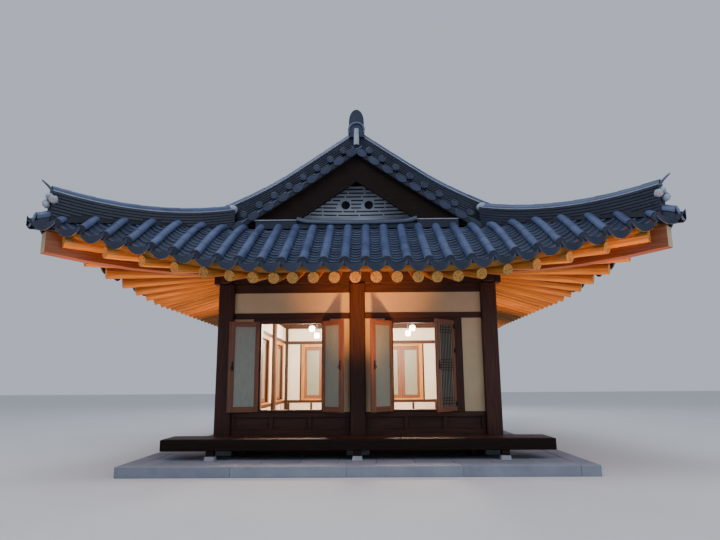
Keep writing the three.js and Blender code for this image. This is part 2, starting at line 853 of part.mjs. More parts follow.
// Cross beams with short posts that carry a ring of inner purlins, closed by a flat boarded ceiling.
function roofFrame(name) {
  const x = halfWidth - ringInset;
  const y = halfDepth - ringInset;
  const half = ringWidth / 2;
  const low = ringTop - ringHeight;
  const parts = [
    box(-x - half, -y - half, low, x + half, -y + half, ringTop),
    box(-x - half, y - half, low, x + half, y + half, ringTop),
    box(-x - half, -y, low, -x + half, y, ringTop),
    box(x - half, -y, low, x + half, y, ringTop),
    box(-x, -y, ringTop - ceilingThickness, x, y, ringTop - 1),
  ];
  const beamEnd = halfWidth - columnSide / 2 - gap;
  const beamHalf = crossBeamWidth / 2;
  const reach = postSide / 2;
  for (const line of [-bay / 2, bay / 2]) {
    parts.push(box(-beamEnd, line - beamHalf, panelTop, beamEnd, line + beamHalf, crossBeamTop));
    for (const middle of [-x, x]) {
      const foot = crossBeamTop - 1;
      parts.push(box(middle - reach, line - reach, foot, middle + reach, line + reach, low + 1));
    }
  }
  return named(name, toGeometry(joined(parts)), pineColour, 0.7);
}

// Ground works, floor and porch

function platform(name) {
  const x = halfWidth + platformSide;
  const y = halfDepth + columnSide / 2 + platformFront;
  const parts = [box(-x, -y, 0, x, y, platformTop)];
  const half = baseStoneSide / 2;
  for (const [cx, cy] of columnPlaces()) {
    const top = platformTop + baseStoneHeight;
    parts.push(box(cx - half, cy - half, platformTop - 1, cx + half, cy + half, top));
  }
  for (const cx of [-halfWidth, 0, halfWidth]) {
    const cy = -porchLegLine();
    const reach = padSide / 2;
    const top = platformTop + padHeight;
    parts.push(box(cx - reach, cy - reach, platformTop - 1, cx + reach, cy + reach, top));
  }
  return named(name, toGeometry(joined(parts)), stoneColour, 0.9);
}

function floor(name) {
  const x = halfWidth - floorInset;
  const y = halfDepth - floorInset;
  const low = floorTop - floorThickness;
  const notch = columnSide / 2 + gap;
  const parts = [box(-x, -y, low, x, y, floorTop)];
  for (let line = 0; line <= 3; line++) {
    const middle = (line - 1.5) * (bay - 260);
    const half = joistWidth / 2;
    const foot = platformTop + gap;
    parts.push(box(-x, middle - half, foot, x, middle + half, low + 1));
  }
  let solid = joined(parts);
  for (const [cx, cy] of columnPlaces()) {
    const cut = box(cx - notch, cy - notch, 0, cx + notch, cy + notch, lintelTop);
    solid = solid.subtract(toSolid(cut));
    const half = baseStoneSide / 2 + gap;
    const stoneTop = platformTop + baseStoneHeight + gap;
    const stone = box(cx - half, cy - half, 0, cx + half, cy + half, stoneTop);
    solid = solid.subtract(toSolid(stone));
  }
  return named(name, toGeometry(solid), pineColour, 0.5);
}

function porchLegLine() {
  return halfDepth + columnSide / 2 + porchReach - porchBeamWidth / 2;
}

// Porch: a deck on a deep front beam, a back bearer and short cross pieces, on legs.
function porch(name) {
  const x = halfWidth + porchSide;
  const top = floorTop - floorThickness + 1;
  const low = floorTop - porchBeamHeight;
  const near = -(halfDepth + columnSide / 2 + gap);
  const far = near - porchReach;
  const legLine = -porchLegLine();
  const half = porchLegSide / 2;
  const parts = [
    box(-x, far, floorTop - floorThickness, x, near, floorTop),
    box(-x, far, low, x, far + porchBeamWidth, top),
    box(-x, near - porchLegSide, low + 40, x, near, top),
  ];
  for (const cx of [-halfWidth, 0, halfWidth]) {
    const foot = platformTop + padHeight + gap;
    parts.push(box(cx - half, legLine - half, foot, cx + half, legLine + half, low + 1));
  }
  for (const cx of [-x + half, -halfWidth, 0, halfWidth, x - half]) {
    parts.push(box(cx - half, far + 1, low + 40, cx + half, near - 1, top));
  }
  for (const cx of [-halfWidth + 400, halfWidth - 400]) {
    const foot = platformTop + gap;
    parts.push(box(cx - half, near - porchLegSide, foot, cx + half, near, low + 41));
  }
  return named(name, toGeometry(joined(parts)), woodColour, 0.7);
}

// Walls, each one bay wide, drawn about the middle of its bay with its outer face to the front

const bayHalf = (bay - columnSide) / 2 - gap;
const openingHalf = openingWidth / 2;

function timberParts() {
  const y = wallThickness / 2;
  const panel = wainscotPanelThickness / 2;
  const jamb = openingHalf + jambWidth;
  const stoneTop = platformTop + baseStoneHeight + gap;
  const footHalf = bay / 2 - baseStoneSide / 2 - gap;
  const parts = [
    box(-footHalf, -y, platformTop + gap, footHalf, y, stoneTop + 1),
    box(-bayHalf, -y, stoneTop, bayHalf, y, floorTop + railHeight),
    box(-bayHalf, -y, sillTop - railHeight, bayHalf, y, sillTop),
    box(-bayHalf, -y, lintelBottom, bayHalf, y, lintelTop),
    box(-jamb, -y, windowTop, jamb, y, lintelBottom + 1),
    box(-bayHalf, -panel, floorTop, bayHalf, panel, sillTop - 1),
    box(-jamb, -y, sillTop - 1, jamb, y, windowBottom),
  ];
  const third = (2 * bayHalf - stileWidth) / 3;
  for (let i = 0; i <= 3; i++) {
    const x = -bayHalf + i * third;
    parts.push(box(x, -y, floorTop, x + stileWidth, y, sillTop - 1));
  }
  for (const side of [-1, 1]) {
    const [x0, x1] = side < 0 ? [-jamb, -openingHalf] : [openingHalf, jamb];
    parts.push(box(x0, -y, sillTop - 1, x1, y, windowTop + 1));
  }
  return parts;
}

function plasterParts(inset) {
  const y = plasterThickness / 2;
  const jamb = openingHalf + jambWidth + inset;
  const end = bayHalf - Math.max(inset, 0);
  return [
    box(-end, -y, sillTop + inset, -jamb, y, lintelBottom - inset),
    box(jamb, -y, sillTop + inset, end, y, lintelBottom - inset),
    box(-end, -y, lintelTop + inset, end, y, panelTop - gap),
  ];
}

// Plaster core that passes behind the lintel, so that its three panels are one piece.
function frontPlaster() {
  const core = plasterThickness / 2;
  const parts = plasterParts(gap);
  const jamb = openingHalf + jambWidth + gap;
  const end = bayHalf - gap;
  for (const side of [-1, 1]) {
    const [x0, x1] = side < 0 ? [-end, -jamb] : [jamb, end];
    parts.push(box(x0, core - 30, lintelBottom - 2, x1, core, lintelTop + 2));
  }
  return toGeometry(joined(parts));
}

function frontTimber() {
  const slot = plasterThickness / 2;
  let solid = joined(timberParts());
  const jamb = openingHalf + jambWidth;
  for (const side of [-1, 1]) {
    const [x0, x1] = side < 0 ? [-bayHalf - 1, -jamb + gap] : [jamb - gap, bayHalf + 1];
    solid = solid.subtract(
      toSolid(box(x0, slot - 30 - gap, lintelBottom - 1, x1, slot + gap + wallThickness, lintelTop + 1)),
    );
  }
  return toGeometry(solid);
}

// Wall of a side or back bay: timber frame, plaster and a closed pair of window leaves in one.
// It is flat inside, but for the window.
function closedWall() {
  const y = wallThickness / 2;
  const foot = platformTop + baseStoneHeight + 2 * gap;
  const lining = toSolid(box(-bayHalf, -y + 40, foot, bayHalf, y, panelTop - gap)).subtract(
    toSolid(box(-openingHalf, -wallThickness, windowBottom, openingHalf, wallThickness, windowTop)),
  );
  const leaf = openingHalf + 1;
  const leaves = box(-leaf, -y + 20, windowBottom - 1, leaf, -y + 20 + leafThickness, windowTop + 1);
  return toGeometry(joined([...timberParts(), ...plasterParts(-1), leaves]).add(lining));
}

// Window leaf with two hinges, drawn closed about its hinge pin. Hand is the side of its jamb,
// and swing is how far it stands open, in degrees.
function windowLeaf(name, hand, swing) {
  const low = windowBottom - leafOverlap;
  const high = windowTop + leafOverlap;
  const face = -hingePinRadius;
  const parts = [
    box(-hingePinOffset - leafWidth, face, low, -hingePinOffset, face + leafThickness, high),
  ];
  for (const share of hingePlaces) {
    const middle = THREE.MathUtils.lerp(low, high, share);
    const pin = new THREE.CylinderGeometry(hingePinRadius, hingePinRadius, hingeHeight, 8);
    pin.rotateX(Math.PI / 2);
    pin.translate(0, 0, middle);
    const reach = hingeHeight / 2;
    parts.push(pin);
    parts.push(box(-hingeStrap, face, middle - reach, 0, face + hingeStrapThickness, middle + reach));
  }
  let solid = joined(parts);
  if (hand < 0) solid = solid.mirror([1, 0, 0]);
  const leaf = named(name, toGeometry(solid), woodColour, 0.6);
  const pinAlong = openingHalf + hingePinOffset - gap;
  leaf.position.set(hand * pinAlong, -wallThickness / 2 - hingePinRadius - gap, 0);
  leaf.rotation.z = THREE.MathUtils.degToRad(hand * swing);
  return leaf;
}

function columnPlaces() {
  const places = [];
  for (let row = 0; row <= 3; row++) {
    for (const x of [-halfWidth, 0, halfWidth]) {
      if (x !== 0 || row % 3 === 0) places.push([x, -halfDepth + row * bay]);
    }
  }
  return places;
}

// Each side with its turn about Z, its column lines and whether it is a gable end
const sides = [
  { side: "front", turn: 0, gable: true },
  { side: "right", turn: Math.PI / 2, gable: false },
  { side: "back", turn: Math.PI, gable: true },
  { side: "left", turn: -Math.PI / 2, gable: false },
].map((item) => {
  const halfLength = item.gable ? halfWidth : halfDepth;
  const depth = item.gable ? halfDepth : halfWidth;
  const lines = [];
  for (let x = -halfLength; x <= halfLength + 1; x += bay) lines.push(x);
  return { ...item, halfLength, depth, lines };
});

// How far the front leaves stand open, in degrees from closed
const leafSwings = { left: [168, 136], right: [136, 45] };

const house = new THREE.Group();
house.add(platform("stone_platform"), floor("room_floor"), porch("porch"));
for (const [x, y] of columnPlaces()) {
  const rowName = ["front", "mid_front", "mid_back", "back"][Math.round((y + halfDepth) / bay)];
  const lineName = ["left", "centre", "right"][Math.sign(x) + 1];
  house.add(column(`column_${rowName}_${lineName}`, x, y));
}
house.add(wallPlates("wall_plates"), roofFrame("roof_frame"), mainRidge("main_ridge"));

for (const { side, turn, gable, halfLength, depth, lines } of sides) {
  const group = new THREE.Group();
  group.rotation.z = turn;
  house.add(group);
  group.add(eavesSide(`${side}_eaves`, halfLength, depth));
  group.add(gable ? endSlope(`${side}_roof`) : mainSlope(`${side}_roof`));
  if (gable) {
    group.add(endRidges(`${side}_ridges`), gableWall(`${side}_gable_wall`));
    group.add(bargeboards(`${side}_bargeboards`));
  }
  lines.slice(0, -1).forEach((line, i) => {
    const place = gable ? ["left", "right"][i] : `${i + 1}`;
    const wall = new THREE.Group();
    wall.position.set(line + bay / 2, -depth, 0);
    group.add(wall);
    if (side !== "front") {
      wall.add(named(`${side}_wall_${place}`, closedWall(), woodColour, 0.7));
      return;
    }
    const [leftSwing, rightSwing] = leafSwings[place];
    wall.add(named(`front_frame_${place}`, frontTimber(), woodColour, 0.6));
    wall.add(named(`front_plaster_${place}`, frontPlaster(), plasterColour, 0.9));
    wall.add(windowLeaf(`window_leaf_${place}_1`, -1, leftSwing));
    wall.add(windowLeaf(`window_leaf_${place}_2`, 1, rightSwing));
  });
}

const corners = [
  ["front_left", -1, -1],
  ["front_right", 1, -1],
  ["back_right", 1, 1],
  ["back_left", -1, 1],
];
for (const [place, x, y] of corners) {
  const rafter = hipRafter(`hip_rafter_${place}`);
  rafter.position.set(x * halfWidth, y * halfDepth, 0);
  rafter.rotation.z = Math.atan2(y, x);
  house.add(rafter);
}

export default house;
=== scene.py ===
"""Looks of a hanok: a timber house on a stone platform under a curved hip-and-gable roof of fired tiles.

Lengths are metres, +Z is up and the front faces -Y. Each of the four sides is drawn as if it were
the front, from (along, out, z), and turned into its place. "Out" is the distance out from the
column line of the side, and "past" is the distance along the side past its corner column.
"""

import math
import random

import bmesh
import bpy
from mathutils import Matrix, Vector


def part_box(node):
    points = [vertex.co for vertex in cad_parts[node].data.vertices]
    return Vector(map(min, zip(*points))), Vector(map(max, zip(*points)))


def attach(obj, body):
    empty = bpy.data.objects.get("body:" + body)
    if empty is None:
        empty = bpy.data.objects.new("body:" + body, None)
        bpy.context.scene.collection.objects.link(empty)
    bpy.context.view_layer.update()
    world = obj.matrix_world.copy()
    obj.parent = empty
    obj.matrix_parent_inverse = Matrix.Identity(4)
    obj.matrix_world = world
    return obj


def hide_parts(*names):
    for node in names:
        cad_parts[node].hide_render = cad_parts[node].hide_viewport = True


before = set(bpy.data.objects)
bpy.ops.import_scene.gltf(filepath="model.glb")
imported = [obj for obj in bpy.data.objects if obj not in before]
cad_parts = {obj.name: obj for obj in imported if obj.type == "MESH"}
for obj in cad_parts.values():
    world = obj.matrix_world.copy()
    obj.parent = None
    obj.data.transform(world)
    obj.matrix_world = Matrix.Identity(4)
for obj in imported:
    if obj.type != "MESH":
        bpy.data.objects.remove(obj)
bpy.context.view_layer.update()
random.seed(7)

# Grid of columns and heights
BAY = 2.4
HALF_WIDTH = BAY
HALF_DEPTH = 1.5 * BAY
COLUMN = 0.28
PLATFORM_TOP = 0.162
STONE_TOP = 0.272
FLOOR_TOP = 0.487
SILL_TOP = 0.876
WINDOW_BOTTOM = 0.915
WINDOW_TOP = 2.455
LINTEL_BOTTOM = 2.540
LINTEL_TOP = 2.646
PANEL_TOP = 3.022
BEAM_TOP = 3.187

# Walls
WALL = 0.12
PLASTER = 0.09
BAY_HALF = (BAY - COLUMN) / 2
OPENING_HALF = 0.55
JAMB = 0.15
RAIL = 0.09
STILE = 0.07
LEAF_WIDTH = 0.54
LEAF_THICKNESS = 0.036
LEAF_OVERLAP = 0.032
LEAF_FREE_STILE = 0.11
LEAF_HINGE_STILE = 0.07
LEAF_RAIL = 0.095
PIN_RADIUS = 0.010
PIN_OFFSET = 0.018
HINGE_PLACES = (0.08, 0.66, 0.93)
LEAF_SWINGS = {"left": (168, 136), "right": (136, 45)}
LATTICE_BARS = 7
BAR_HALF = 0.008
CROSS_BAR_HALF = 0.006
HINGE_HALF = 0.04
STRAP_LENGTH = 0.06
GRIP_INSET = 0.035
PIN_GAP = 0.0003
LEAF_GAP = 0.002
CLOSED_LEAF_INSET = 0.018
BAR_DEPTHS = (0.006, 0.018)
CROSS_BAR_DEPTHS = (0.005, 0.017)
PAPER_DEPTHS = (0.019, 0.024)
FOOT_INSET = 0.2
SILL_STAND = 0.012
WAINSCOT_HALF = 0.02
LATCH_HALF = (0.016, 0.08)
RING_RADIUS = 0.030
RING_WIRE = 0.0045
CASING = 0.10

# Roof surface, at mid-height of the tiles
SURFACE_AT_WALL = 4.295
PITCH_AT_WALL = 0.6283
HOLLOWING = 0.01684
EAVE_REACH = 1.78
CORNER_REACH = 2.43
PLAN_CURVE_START = -1.6
LIFT_START = -1.1
CORNER_LIFT = 0.965
LIFT_POWER = 1.636
LIFT_RAMP_START = 0.1
LIFT_FULLNESS = 0.4
TILE_OVERHANG = 0.12
VERGE_REACH = 0.1
RIDGE_OUT = -HALF_WIDTH
SHELL_DEPTH = 0.165
GABLE_FACE = -0.46
BED_DROP = 0.075
BED_INSET = TILE_OVERHANG + 0.025
BED_THINNING = 0.07

# Tiles
TILE_PITCH = 0.33
PAN_HALF = 0.152
PAN_DEPTH = 0.052
PAN_RISE = 0.060
PAN_THICKNESS = 0.020
PAN_COURSE = 0.12
PAN_LENGTH = 1.6 * PAN_COURSE
PAN_TILT = 0.028
PAN_STEPS = 8
COVER_RADIUS = 0.077
COVER_THICKNESS = 0.014
COVER_COURSE = 0.33
COVER_LENGTH = 1.08 * COVER_COURSE
COVER_TAPER = 0.006
MITRE_UNDERLAP = 0.13
COVER_STEPS = 10
COVER_LIFT = 0.022
DRIP_DEPTH = 0.150
DRIP_RISE = 0.120
DISC_RADIUS = 0.079
DISC_SIDES = 20
DISC_PROFILE = ((0.0, 0.012), (0.0, -0.006), (0.012, -0.010), (0.018, -0.004))
DISC_BOSS = (0.02, -0.006)
DISC_STAND = 0.008
DRIP_STEPS = 14
DRIP_LEAN = 0.022
DRIP_FACES = (0.012, -0.008)
SHORTEST_COVER = 0.16
VERGE_PITCH = 0.30
VERGE_PITCH_GAIN = 0.06
VERGE_STAND = 0.012
VERGE_COVER_RADIUS = 0.066
VERGE_COVER_LENGTH = 0.19
VERGE_DISC_RADIUS = 0.068
VERGE_OVAL_RADIUS = 0.118
VERGE_OVAL_SQUASH = 0.64
VERGE_OVAL_DROP = 0.062
VERGE_PAN_HALF = 0.13
VERGE_PAN_LENGTH = 0.22
VERGE_PAN_THICKNESS = 0.018

# Rafters and boards
BOARD = 0.035
BOARD_SINK = 0.005
RAFTER_RADIUS = 0.09
RAFTER_PITCH = 0.325
RAFTER_TOP_AT_WALL = 3.617
RING_INSET = 1.45
FAN_RAFTERS = 8
FAN_START = -1.41
FAN_END = 2.0
FAN_GROWTH = 1.1
RAFTER_SIDES = 16
FAN_ROOT = 0.3
BATTEN_STEPS = 12
BATTEN_FACES = (0.022, -0.018)
HORN_START = 0.70
HORN_HEIGHT = 0.05

# Ridges
RIDGE_HALF = 0.12
RIDGE_CAP_RADIUS = 0.088
RIDGE_COURSE = 0.050
RIDGE_COURSES = 9
RIDGE_TILE_LENGTH = 0.32
RIDGE_TILE_DEPTH = 0.030
RIDGE_JOINT_HALF = 0.0015
CAP_TILE_LENGTH = 0.36
CAP_TILE_THICKNESS = 0.016
CAP_TILE_SPREAD = 100
MORTAR_LINE = 0.016
RIDGE_STATIONS = 24
RIDGE_HEIGHT = 0.455
RIDGE_SWEEP = 0.12
SWEEP_LENGTH = 1.0
GABLE_RIDGE_END = 0.22
VERGE_RIDGE_OUT = -0.06
HIP_RIDGE_END = 2.225
HIP_RIDGE_LOW = 4.34
HIP_RIDGE_LOW_AT = 1.7
HIP_RIDGE_BEND = 0.142
MAIN_RIDGE_HALF_LENGTH = 3.6
MAIN_RIDGE_END_TOP = 6.43
MAIN_RIDGE_SAG = 0.09
MAIN_RIDGE_HALF = 0.15
MAIN_RIDGE_CAP_RADIUS = 0.095
MAIN_RIDGE_INSET = 0.24
FINIAL_TOP = 6.71
FINIAL_HALF = 0.148
FINIAL_RISE = 0.26
FINIAL_THICKNESS = 0.075
COLLAR_DROP = 0.165
COLLAR_RADIUS = 0.17
COLLAR_THICKNESS = 0.030
COLLAR_SPREAD = 112

# Ends of the hip ridges. A lump is (way across, way out, depth below the ridge's top, half size),
# and a station of the wrapping tiles (way out, height of their crown over the roof).
UPSWEEP_REACH = 0.17
UPSWEEP_RISE = 0.20
UPSWEEP_HALF = 0.055
HIP_LUMPS = (
    (0.115, -0.010, 0.25, 0.066),
    (0.030, 0.020, 0.19, 0.058),
    (-0.06, 0.040, 0.27, 0.062),
    (0.020, 0.055, 0.32, 0.058),
)
HIP_START_LUMP = (0.12, 0.12, 0.095)
LUMP_RINGS = 6
WRAP_STATIONS = ((-0.10, 0.155), (0.04, 0.105), (0.13, 0.07), (0.176, 0.057))
WRAP_RADIUS = 0.10
WRAP_HALF = 0.095
WRAP_DEPTH = 0.19
CORNER_PLATE_HALF = 0.06
CORNER_PLATE_DROP = 0.235

# Gable
VENTS = ((-0.23, 4.867), (0.23, 4.867))
VENT_RADIUS = 0.085
GABLE_ROWS = 8
GABLE_ROW_PITCH = 0.077
GABLE_ROW_FOOT = 4.655
GABLE_ROW_HALF = 1.30
GABLE_ROW_NARROWING = 0.135
GABLE_ROW_BOW = 0.045
VENT_SIDES = 24
VENT_CLEARANCE = 0.11
GABLE_PLASTER = 0.08
GABLE_PLASTER_HALF = 1.6
GABLE_CAP = ((-0.22, 5.254), (0.22, 5.254), (0.0, 5.50))
FOOT_COURSE_HALF = 1.13
FOOT_EDGE_HALF = 1.92
FOOT_COURSE_OUT = 0.06
FOOT_COURSE_LOW = 4.24
FOOT_TILE_CENTRE = 4.325
FOOT_TILE_RADIUS = 0.085
FOOT_COURSE_TOP = 4.34
FOOT_EDGE_TOP = 4.40
FOOT_LIP = 0.020

# Beams and ceiling
PLATE_END = 0.25
PLATE_HALF = 0.09
TIE_HALF = 0.06
RING_HALF = 0.075
RING_DEPTH = 0.2
CROSS_BEAM_REACH = 2.26
CROSS_BEAM_HALF = 0.12
CROSS_BEAM_TOP = 3.4
RING_POST_HALF = 0.08
CEILING_BOARD = 0.2

# Platform, floor and porch
KERB = 0.30
KERB_STONE = 1.9
FLAGS_ACROSS = 11
FLAGS_DEEP = 15
FLAG_JOINT = 0.004
FLAG_THICKNESS = 0.05
BASE_STONE_HALF = 0.20
PORCH_PAD_HALF = 0.085
FLOOR_BOARD = 0.145
BOARD_JOINT = 0.002
DECK = 0.045
ROOM_HALF = 2.25
JOIST_HALF = 0.065
PORCH_BOARD = 0.155
PORCH_BEAM = 0.18
PORCH_BEAM_WIDTH = 0.14
PORCH_RAIL = 0.14
PORCH_RAIL_WIDTH = 0.13
PORCH_LEG_HALF = 0.065
PORCH_LEG_LINE = -(HALF_DEPTH + COLUMN / 2 + 0.719 - 0.07)
PORCH_LEG_FOOT = 0.222
PORCH_REAR_LEGS = (0.4 - HALF_WIDTH, HALF_WIDTH - 0.4)

# Lamps in the room
PENDANTS = ((-1.00, -1.9, 2.52), (-0.93, -1.5, 2.40), (1.14, -1.9, 2.52), (1.07, -1.5, 2.44))
PENDANT_RADIUS = 0.055
PENDANT_HALF = 0.065
STEM_RADIUS = 0.006
STEM_TOP = 3.66

# Light. A lamp is (name, place, watts, aim, size, spread). Those in EAVE_LAMPS and the places of
# the lamps in the room are of the right half, and are mirrored to the left.
SKY = (0.84, 0.90, 1.0)
WARM = (1.0, 0.37, 0.055)
ROOM = (1.0, 0.86, 0.66)
SKY_LAMPS = (
    ("key", (-5, -9, 18), 1700, (0, -2, 2.5), (11, 11), 180),
    ("fill", (12, -12, 8), 450, (0, 0, 2.5), (9, 7), 180),
    ("back", (2, 16, 12), 900, (0, 0, 3), (10, 6), 180),
)
EAVE_LAMPS = (
    ("eave_corner", (3.2, -3.4, 1.5), 44, (4.0, -4.2, 3.5), (0.5, 0.5), 180),
    ("eave_front", (4.2, -6.2, 0.3), 22, (4.1, -5.3, 3.7), (0.3, 0.3), 60),
    ("eave_flank", (3.1, -0.8, 1.5), 17, (3.6, -1.3, 3.4), (0.5, 1.6), 92),
    ("eave_rear", (3.1, 2.4, 1.5), 13, (3.6, 2.7, 3.4), (0.5, 1.6), 92),
)
EAVE_MIDDLE_LAMP = ("eave_middle", (0.1, -5.85, 0.15), 40, (0.1, -4.3, 2.9), (0.3, 0.3), 48)
ROOM_LAMP_PLACES = ((1.1, -1.6, 2.5), (1.1, 1.6, 2.5))
ROOM_LAMP_WATTS = 320
ROOM_LAMP_SIZE = 0.25

# Camera, in metres, degrees and pixels
CAMERA_PLACE = (0.189, -14.027, 1.399)
CAMERA_TURN = (-0.746, 11.156, -0.375)
FOCAL_PIXELS = 567.3
IMAGE_WIDTH = 720
SENSOR_WIDTH = 36

UP = Vector((0, 0, 1))


def evenly(steps):
    """Even steps from -1 to 1."""
    return [2 * i / steps - 1 for i in range(steps + 1)]


def round_turns(sides):
    """Even angles once round a circle."""
    return [2 * math.pi * i / sides for i in range(sides)]


def placed(name, data):
    """Object of some data, put in the scene."""
    item = bpy.data.objects.new(name, data)
    bpy.context.scene.collection.objects.link(item)
    return item


# Finishes. The grain attribute holds metres along a piece, metres across it and a seed.


class Finish:
    """A material whose nodes are chained by short calls. A value is a socket, a number or a tuple."""

    def __init__(self, name, **values):
        self.material = bpy.data.materials.new(name)
        self.material.use_nodes = True
        self.tree = self.material.node_tree
        self.shader = self.tree.nodes["Principled BSDF"]
        self.place = self.node("TexCoord").outputs["Object"]
        self.grain = self.node("Attribute", attribute_name="grain").outputs["Vector"]
        self.along, self.across, self.seed = self.node("SeparateXYZ", self.grain).outputs
        self.shade(**values)

    def give(self, socket, value):
        if isinstance(value, bpy.types.NodeSocket):
            self.tree.links.new(value, socket)
        elif isinstance(value, tuple) and len(socket.default_value) == 4:
            socket.default_value = (*value, 1)
        elif value is not None:
            socket.default_value = value

    def shade(self, **values):
        for name, value in values.items():
            self.give(self.shader.inputs[name.replace("_", " ")], value)

    def node(self, kind, *values, **settings):
        """A node with its settings and its first inputs in order. None leaves an input as it is."""
        node = self.tree.nodes.new("ShaderNode" + kind)
        for name, value in settings.items():
            setattr(node, name, value)
        for socket, value in zip(node.inputs, values):
            self.give(socket, value)
        return node

    def maths(self, operation, *values):
        return self.node("Math", *values, operation=operation).outputs[0]

    def noise(self, vector, scale=1.0, detail=4.0, roughness=0.55):
        return self.node("TexNoise", vector, None, scale, detail, roughness).outputs["Fac"]

    def stretched(self, vector, scale):
        return self.node("Mapping", vector, None, None, scale).outputs["Vector"]

    def tone(self, factor):
        """A tone of its own for each tile, board or stone."""
        return self.maths("FRACT", self.maths("MULTIPLY", self.seed, factor))

    def ramp(self, factor, *stops):
        node = self.node("ValToRGB", factor)
        elements = node.color_ramp.elements
        while len(elements) < len(stops):
            elements.new(0.5)
        for element, (position, colour) in zip(elements, stops):
            element.position = position
            element.color = (*colour, 1)
        return node.outputs["Color"]

    def multiplied(self, first, second):
        node = self.node("Mix", data_type="RGBA", blend_type="MULTIPLY")
        for index, value in ((0, 1.0), (6, first), (7, second)):
            self.give(node.inputs[index], value)
        return node.outputs[2]

    def bump(self, height, strength, distance):
        node = self.node("Bump")
        for name, value in (("Strength", strength), ("Distance", distance), ("Height", height)):
            self.give(node.inputs[name], value)
        self.shade(Normal=node.outputs["Normal"])
        return self.material


def wood(name, dark, light, roughness=0.55, contrast=0.5, gloss=0.5):
    """Sawn or planed timber with its grain along the piece."""
    finish = Finish(name, Specular_IOR_Level=gloss)
    fibres = finish.noise(finish.stretched(finish.grain, (2.2, 60, 7)), 1.0, 5, 0.6)
    rings = finish.noise(finish.stretched(finish.grain, (0.5, 14, 3)), 1.0, 3, 0.5)
    wave = finish.maths("SINE", finish.maths("MULTIPLY", rings, 38.0))
    bands = finish.maths("MULTIPLY_ADD", wave, 0.5 * contrast, 0.5)
    body = finish.maths("MULTIPLY_ADD", fibres, 0.7, finish.maths("MULTIPLY", bands, 0.3))
    colour = finish.ramp(body, (0.3, dark), (0.72, light))
    shade = finish.ramp(finish.tone(7.31), (0.0, (0.78, 0.76, 0.74)), (1.0, (1.12, 1.1, 1.08)))
    rough = finish.maths("MULTIPLY_ADD", fibres, 0.25, roughness - 0.12)
    finish.shade(Base_Color=finish.multiplied(colour, shade), Roughness=rough)
    return finish.bump(fibres, 0.35, 0.004)


def end_grain():
    """Sawn end of a log: rings and drying checks. The grain runs from the heart out."""
    finish = Finish("pine_end_grain", Roughness=0.7)
    squares = [finish.maths("MULTIPLY", axis, axis) for axis in (finish.along, finish.across)]
    radius = finish.maths("SQRT", finish.maths("ADD", *squares))
    wobble = finish.noise(finish.stretched(finish.grain, (1.5, 1.5, 9)), 1.0, 2)
    phase = finish.maths("MULTIPLY_ADD", radius, 30.0, finish.maths("MULTIPLY", wobble, 9.0))
    ring = finish.maths("MULTIPLY_ADD", finish.maths("SINE", phase), 0.5, 0.5)
    angle = finish.maths("ARCTAN2", finish.across, finish.along)
    turned = finish.maths("MULTIPLY_ADD", finish.seed, 11.0, angle)
    spoke = finish.node("CombineXYZ", finish.maths("MULTIPLY", turned, 2.2), None, finish.seed)
    finish.give(spoke.inputs[1], finish.maths("MULTIPLY", radius, 0.35))
    check = finish.noise(spoke.outputs[0], 3.6, 2, 0.6)
    crack = finish.ramp(check, (0.40, (0.26, 0.13, 0.05)), (0.48, (1, 1, 1)))
    colour = finish.ramp(ring, (0.0, (0.54, 0.26, 0.045)), (1.0, (0.72, 0.38, 0.085)))
    finish.shade(Base_Color=finish.multiplied(colour, crack))
    return finish.bump(check, 0.5, 0.006)


def fired_tile(name, dark, light):
    """Smoked clay with faint blooms and a soft sheen."""
    finish = Finish(name, Specular_IOR_Level=0.45)
    cloud = finish.noise(finish.place, 2.6, 6, 0.62)
    speck = finish.noise(finish.place, 95.0, 3, 0.7)
    tone = finish.maths("MULTIPLY", finish.tone(5.17), 0.14)
    body = finish.maths("MULTIPLY_ADD", cloud, 0.7, tone)
    dust = finish.ramp(speck, (0.45, (0.85, 0.85, 0.87)), (0.75, (1.15, 1.15, 1.12)))
    colour = finish.multiplied(finish.ramp(body, (0.25, dark), (0.7, light)), dust)
    finish.shade(Base_Color=colour, Roughness=finish.maths("MULTIPLY_ADD", cloud, 0.35, 0.28))
    return finish.bump(speck, 0.25, 0.002)


def mineral(name, dark, light, scale, roughness, relief, fine=60.0):
    """Plaster, mortar or stone: cloudy tone with a fine tooth."""
    finish = Finish(name, Roughness=roughness)
    cloud = finish.noise(finish.place, scale, 6, 0.6)
    tooth = finish.noise(finish.place, fine, 4, 0.65)
    body = finish.maths("MULTIPLY_ADD", cloud, 0.6, finish.maths("MULTIPLY", tooth, 0.2))
    body = finish.maths("MULTIPLY_ADD", finish.tone(3.7), 0.08, body)
    finish.shade(Base_Color=finish.ramp(body, (0.3, dark), (0.7, light)))
    return finish.bump(tooth, relief, 0.004)


def paper():
    """Mulberry paper on a sash, with long faint fibres."""
    finish = Finish("paper", Roughness=0.42)
    fibre = finish.noise(finish.stretched(finish.place, (30, 30, 6)), 1.0, 5, 0.6)
    finish.shade(Base_Color=finish.ramp(fibre, (0.3, (0.205, 0.235, 0.195)), (0.7, (0.25, 0.28, 0.23))))
    return finish.bump(fibre, 0.08, 0.001)


def iron():
    finish = Finish("black_iron", Metallic=0.6, Roughness=0.48)
    pitted = finish.noise(finish.place, 140.0, 3, 0.6)
    finish.shade(Base_Color=finish.ramp(pitted, (0.3, (0.008, 0.008, 0.009)), (0.8, (0.03, 0.028, 0.026))))
    return finish.bump(pitted, 0.2, 0.001)


def lamp_glass():
    finish = Finish("lamp_glass", Emission_Strength=14.0, Roughness=0.25)
    cloud = finish.noise(finish.place, 9.0, 2)
    colour = finish.ramp(cloud, (0.3, (0.95, 0.82, 0.60)), (0.7, (1.0, 0.90, 0.72)))
    finish.shade(Base_Color=colour, Emission_Color=colour)
    return finish.material


